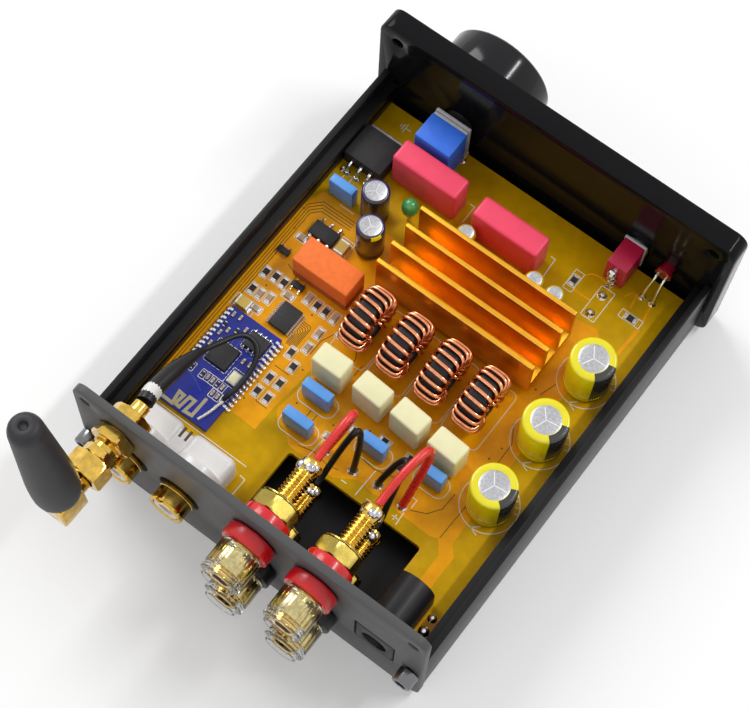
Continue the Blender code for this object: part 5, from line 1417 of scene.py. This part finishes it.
    def connector(self) -> None:
        """The threaded aerial connector through the rear panel, with its nuts and washer."""
        low, high = span("sma_connector")
        x, z = 32.5, 28.4
        part = Maker("aerial_connector")
        length = high.y - low.y
        profile = [(0, 0), (1.8, 0), (1.9, 0.2), (1.9, 2.3), (3.0, 2.4)]
        thread_end = 55.75 - low.y
        pitch = 0.5
        for i in range(int((thread_end - 2.6) / pitch)):
            profile += [(3.1, 2.6 + i * pitch), (2.85, 2.85 + i * pitch)]
        profile += [(3.05, thread_end), (2.6, thread_end + 0.1), (2.6, length - 0.1), (2.5, length), (0, length)]
        part.turned(GOLD, profile, (x, low.y, z), Axis.Y, 40)
        part.turned(GOLD, [(3.0, 0), (3.0, 0.5), (4.5, 0.5), (4.6, 0.4), (4.6, 0.1), (4.5, 0)], (x, 49.55, z), Axis.Y, 40)
        part.hexagon(GOLD, 8.0, (x, 47.15, z), 2.35, Axis.Y, 30, 2.9)
        part.hexagon(GOLD, 8.3, (x, 52.55, z), 2.4, Axis.Y, 30, 2.9)
        part.hexagon(GOLD, 6.4, (x, 56.95, z), 1.8, Axis.Y, 30, 2.5)
        part.make(Body.CASE, ["sma_connector"])
        nut = Maker("coupling_hexagon")
        low, high = span("coupling_nut")
        nut.hexagon(GOLD, 8.0, (x, low.y, z), high.y - low.y, Axis.Y, 10, 2.9)
        nut.make(Body.COUPLING, ["coupling_nut"])

    def aerial(self) -> None:
        """The right-angle foot and the rubber-covered mast."""
        foot = Maker("aerial_elbow")
        foot.copy_of("antenna_elbow", GOLD, 0.12, 2)
        foot.make(Body.ANTENNA, ["antenna_elbow"])
        mast = Maker("aerial_mast")
        centre = Vector((32.5, 69.15, 28.4))
        tip, base, start, end = 36.6, 5.0, 3.4, 3.6
        profile = [(0, tip - 0.75), (end * 0.16, tip - 0.7), (end * 0.24, tip - 0.45), (end * 0.28, tip - 0.1),
                   (end * 0.36, tip)]
        profile += [(end * share, tip - drop) for share, drop in (
            (0.55, 0.05), (0.70, 0.2), (0.80, 0.55), (0.88, 1.05), (0.94, 1.7), (0.98, 2.5), (1.0, 3.6))]
        profile += [(end + (base * 0.985 - end) * i / 8, tip - 3.6 - (tip - 3.6 - start - 10) * i / 8) for i in range(1, 9)]
        profile += [(base, start + 7.0), (base, start + 4.5), (base * 0.985, start + 2.6), (base * 0.95, start + 1.4),
                    (base * 0.88, start + 0.6), (base * 0.78, start + 0.15), (base * 0.70, start), (0, start)]
        lean = Matrix.Translation(centre) @ Matrix.Rotation(math.radians(5.5), 4, "Y")
        angles = [2 * math.pi * i / 56 for i in range(56)]
        rings = [[Vector((r * math.cos(a), r * math.sin(a), h)) for a in angles] for r, h in profile]
        mast.skin(RUBBER, rings, lean, True, False)
        mast.make(Body.ANTENNA, ["antenna_mast"])

    def jack(self) -> None:
        """The moulded power jack with its sprung contact and centre pin."""
        jack = Maker("power_socket")
        jack.copy_of("dc_jack", JACK_BLACK, 0.12, 2)
        jack.make(Body.CASE, ["dc_jack"])


@dataclass
class Wiring:
    """The aerial lead and the four speaker wires, along the routes of their packed tubes."""

    routes: dict[str, list[Triple]] = field(default_factory=lambda: {
        "red_1": [(-1.9, 32.3, 28.2), (-1.9, 29.6, 28.8), (-2.0, 26, 29.9), (-2.1, 22.8, 30.3), (-2.0, 20.6, 29.2),
                  (-1.6, 20.0, 26), (-0.7, 21.4, 21), (0.4, 23.6, 16), (1.2, 25.2, 12.3)],
        "red_2": [(-17.2, 32.3, 28.2), (-17.2, 29.4, 28.7), (-17.5, 25, 29.8), (-18.0, 20.8, 30.2),
                  (-18.5, 17.9, 29.4), (-18.8, 17.0, 26.8), (-18.9, 18.6, 22.4), (-18.7, 22, 17),
                  (-18.5, 25.1, 12.3)],
        "black_1": [(-1.9, 32.3, 12.8), (-2.0, 30.4, 13.9), (-2.4, 28.6, 17), (-3.0, 27.0, 21), (-3.8, 25.2, 25.6),
                    (-4.5, 23.4, 28.4), (-5.0, 22.4, 28.0), (-5.4, 22.5, 25), (-5.7, 23.4, 20), (-5.9, 24.7, 15),
                    (-5.9, 25.3, 12.3)],
        "black_2": [(-17.2, 32.3, 12.8), (-17.0, 30.2, 13.9), (-16.6, 27.4, 17), (-16.2, 24, 20.6), (-15.8, 21, 22.4),
                    (-15.0, 19.9, 22.2), (-13.9, 20.6, 20.5), (-12.8, 22.3, 17), (-12.1, 23.9, 14.4),
                    (-11.8, 24.6, 12.3)],
    })
    coax: tuple[Triple, ...] = (
        (32.6, 43.7, 28.3), (33.1, 41, 27.6), (33.3, 36.6, 26), (33.2, 32.3, 24.3), (32.8, 28.1, 22.6),
        (32.3, 25.6, 21.4), (31.2, 22.1, 20), (29.9, 18.8, 19), (28.5, 17.1, 18.2), (26.6, 16.8, 17.4),
        (24.9, 17.8, 16.8), (23.9, 19.8, 16.2), (23.4, 22.6, 15.6), (23.4, 25.7, 15.2), (23.9, 28.4, 14.8),
        (24.4, 29.9, 14.2))

    def build(self) -> None:
        """Makes the wires."""
        for name, route in self.routes.items():
            red = name.startswith("red")
            wire = Maker(f"speaker_lead_{name}")
            wire.wire(WIRE_RED if red else WIRE_BLACK, smooth_route(route, 90), 0.9 if red else 0.7, 16)
            wire.make(Body.CASE, [f"speaker_wire_{name}"], 60)
        count = 120
        widths = []
        for i in range(count):
            along = (i / (count - 1) - 0.14) / (0.36 - 0.14)
            ease = min(max(along, 0), 1)
            widths.append(1 + (1.9 / 0.6 - 1) * (1 - ease * ease * (3 - 2 * ease)))
        lead = Maker("aerial_lead")
        lead.wire(WIRE_BLACK, smooth_route(self.coax, count), 0.6, 16, widths)
        sleeve = smooth_route(self.coax, count)[5:11]
        lead.wire(WHITE_SLEEVE, sleeve, 1.93, 24, [0.97, *[1.0] * (len(sleeve) - 2), 0.97])
        lead.make(Body.CASE, ["aerial_coax"], 60)


@dataclass
class Studio:
    """The floor, the soft light and the camera."""

    place: Triple = (-79.95, 133.43, 402.88)
    right: Triple = (-0.79753477, -0.60265628, 0.0272708)
    up: Triple = (0.56763381, -0.73434503, 0.37219515)
    lens: float = 95.934
    sensor: float = 36.0

    def build(self) -> None:
        """Makes the studio."""
        self.floor()
        self.sky()
        self.lamp("key", (0.86, -0.30, 0.76), (0.60, 0.60), 6.7)
        self.lamp("strip", (-0.44, -0.51, 0.80), (0.06, 0.60), 3.8, (0, 1, 0))
        self.lamp("rear", (0.10, 1.05, 0.50), (1.0, 0.6), 1.6)
        self.camera()
        bpy.context.scene.view_settings.view_transform = "Standard"

    def floor(self) -> None:
        """A plain pale floor that keeps the object's shadow."""
        part = bmesh.new()
        bmesh.ops.create_grid(part, x_segments=1, y_segments=1, size=3)
        mesh = bpy.data.meshes.new("floor")
        part.to_mesh(mesh)
        part.free()
        floor = bpy.data.objects.new("floor", mesh)
        floor.location.z = -0.0003
        bpy.context.scene.collection.objects.link(floor)
        material = bpy.data.materials.new("floor")
        material.use_nodes = True
        nodes, links = material.node_tree.nodes, material.node_tree.links
        shader = nodes["Principled BSDF"]
        shader.inputs["Base Color"].default_value = (0.80, 0.80, 0.80, 1)
        shader.inputs["Roughness"].default_value = 0.6
        shader.inputs["Specular IOR Level"].default_value = 0.1
        lift = nodes.new("ShaderNodeMath")
        lift.operation = "MULTIPLY"
        lift.inputs[1].default_value = 0.21
        links.new(self.seen(nodes, links), lift.inputs[0])
        shader.inputs["Emission Color"].default_value = (1, 1, 1, 1)
        links.new(lift.outputs[0], shader.inputs["Emission Strength"])
        mesh.materials.append(material)

    def sky(self) -> None:
        """A pale surround, brighter where it is seen or mirrored than in the light it gives."""
        world = bpy.data.worlds.new("studio")
        bpy.context.scene.world = world
        world.use_nodes = True
        nodes, links = world.node_tree.nodes, world.node_tree.links
        shade = nodes["Background"]
        shade.inputs["Color"].default_value = (1, 1, 1, 1)
        level = nodes.new("ShaderNodeMapRange")
        level.inputs["To Min"].default_value = 0.45
        level.inputs["To Max"].default_value = 0.95
        links.new(self.seen(nodes, links), level.inputs["Value"])
        links.new(level.outputs["Result"], shade.inputs["Strength"])

    def seen(self, nodes: bpy.types.Nodes, links: bpy.types.NodeLinks) -> bpy.types.NodeSocket:
        """Adds nodes that give 1 for what is seen directly, mirrored or through clear plastic, and 0 for the rest.

        Args:
            nodes: the nodes to add to.
            links: the links to add to.

        Returns:
            The socket with the value.
        """
        rays = nodes.new("ShaderNodeLightPath")
        either, all_three = nodes.new("ShaderNodeMath"), nodes.new("ShaderNodeMath")
        either.operation = all_three.operation = "MAXIMUM"
        links.new(rays.outputs["Is Camera Ray"], either.inputs[0])
        links.new(rays.outputs["Is Glossy Ray"], either.inputs[1])
        links.new(either.outputs[0], all_three.inputs[0])
        links.new(rays.outputs["Is Transmission Ray"], all_three.inputs[1])
        return all_three.outputs[0]

    def lamp(self, name: str, place: Triple, size: Pair, power: float, along: Triple = (0, 0, 1)) -> None:
        """A soft rectangular lamp that looks at the object.

        Args:
            name: the lamp's name.
            place: where it hangs, in metres.
            size: its width and length, in metres.
            power: its strength, in watts.
            along: the direction that its length follows as nearly as it can.
        """
        data = bpy.data.lights.new(name, "AREA")
        data.shape = "RECTANGLE"
        data.size, data.size_y = size
        data.energy = power
        lamp = bpy.data.objects.new(name, data)
        back = (Vector(place) - Vector((0, 0, 0.02))).normalized()
        length = (Vector(along) - back * back.dot(Vector(along))).normalized()
        lamp.matrix_world = Matrix.Translation(place) @ Matrix((length.cross(back), length, back)).transposed().to_4x4()
        bpy.context.scene.collection.objects.link(lamp)

    def camera(self) -> None:
        """The camera at the photograph's place."""
        data = bpy.data.cameras.new("camera")
        data.lens = self.lens
        data.sensor_width = self.sensor
        data.clip_start = 0.01
        camera = bpy.data.objects.new("camera", data)
        right, up = Vector(self.right), Vector(self.up)
        basis = Matrix((right, up, right.cross(up))).transposed()
        camera.matrix_world = Matrix.Translation(Vector(self.place) * MM) @ basis.to_4x4()
        bpy.context.scene.collection.objects.link(camera)
        bpy.context.scene.camera = camera


def main() -> None:
    """Builds every sub-assembly in order."""
    logging.basicConfig(level=logging.INFO, format="%(message)s")
    random.seed(7)
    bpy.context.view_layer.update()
    for group in (Case(), Board(), Capacitors(), PowerStage(), FrontControls(), RadioModule(), RearFittings(),
                  Wiring(), Studio()):
        LOG.info("building %s", type(group).__name__)
        group.build()


if __name__ == "__main__":
    main()
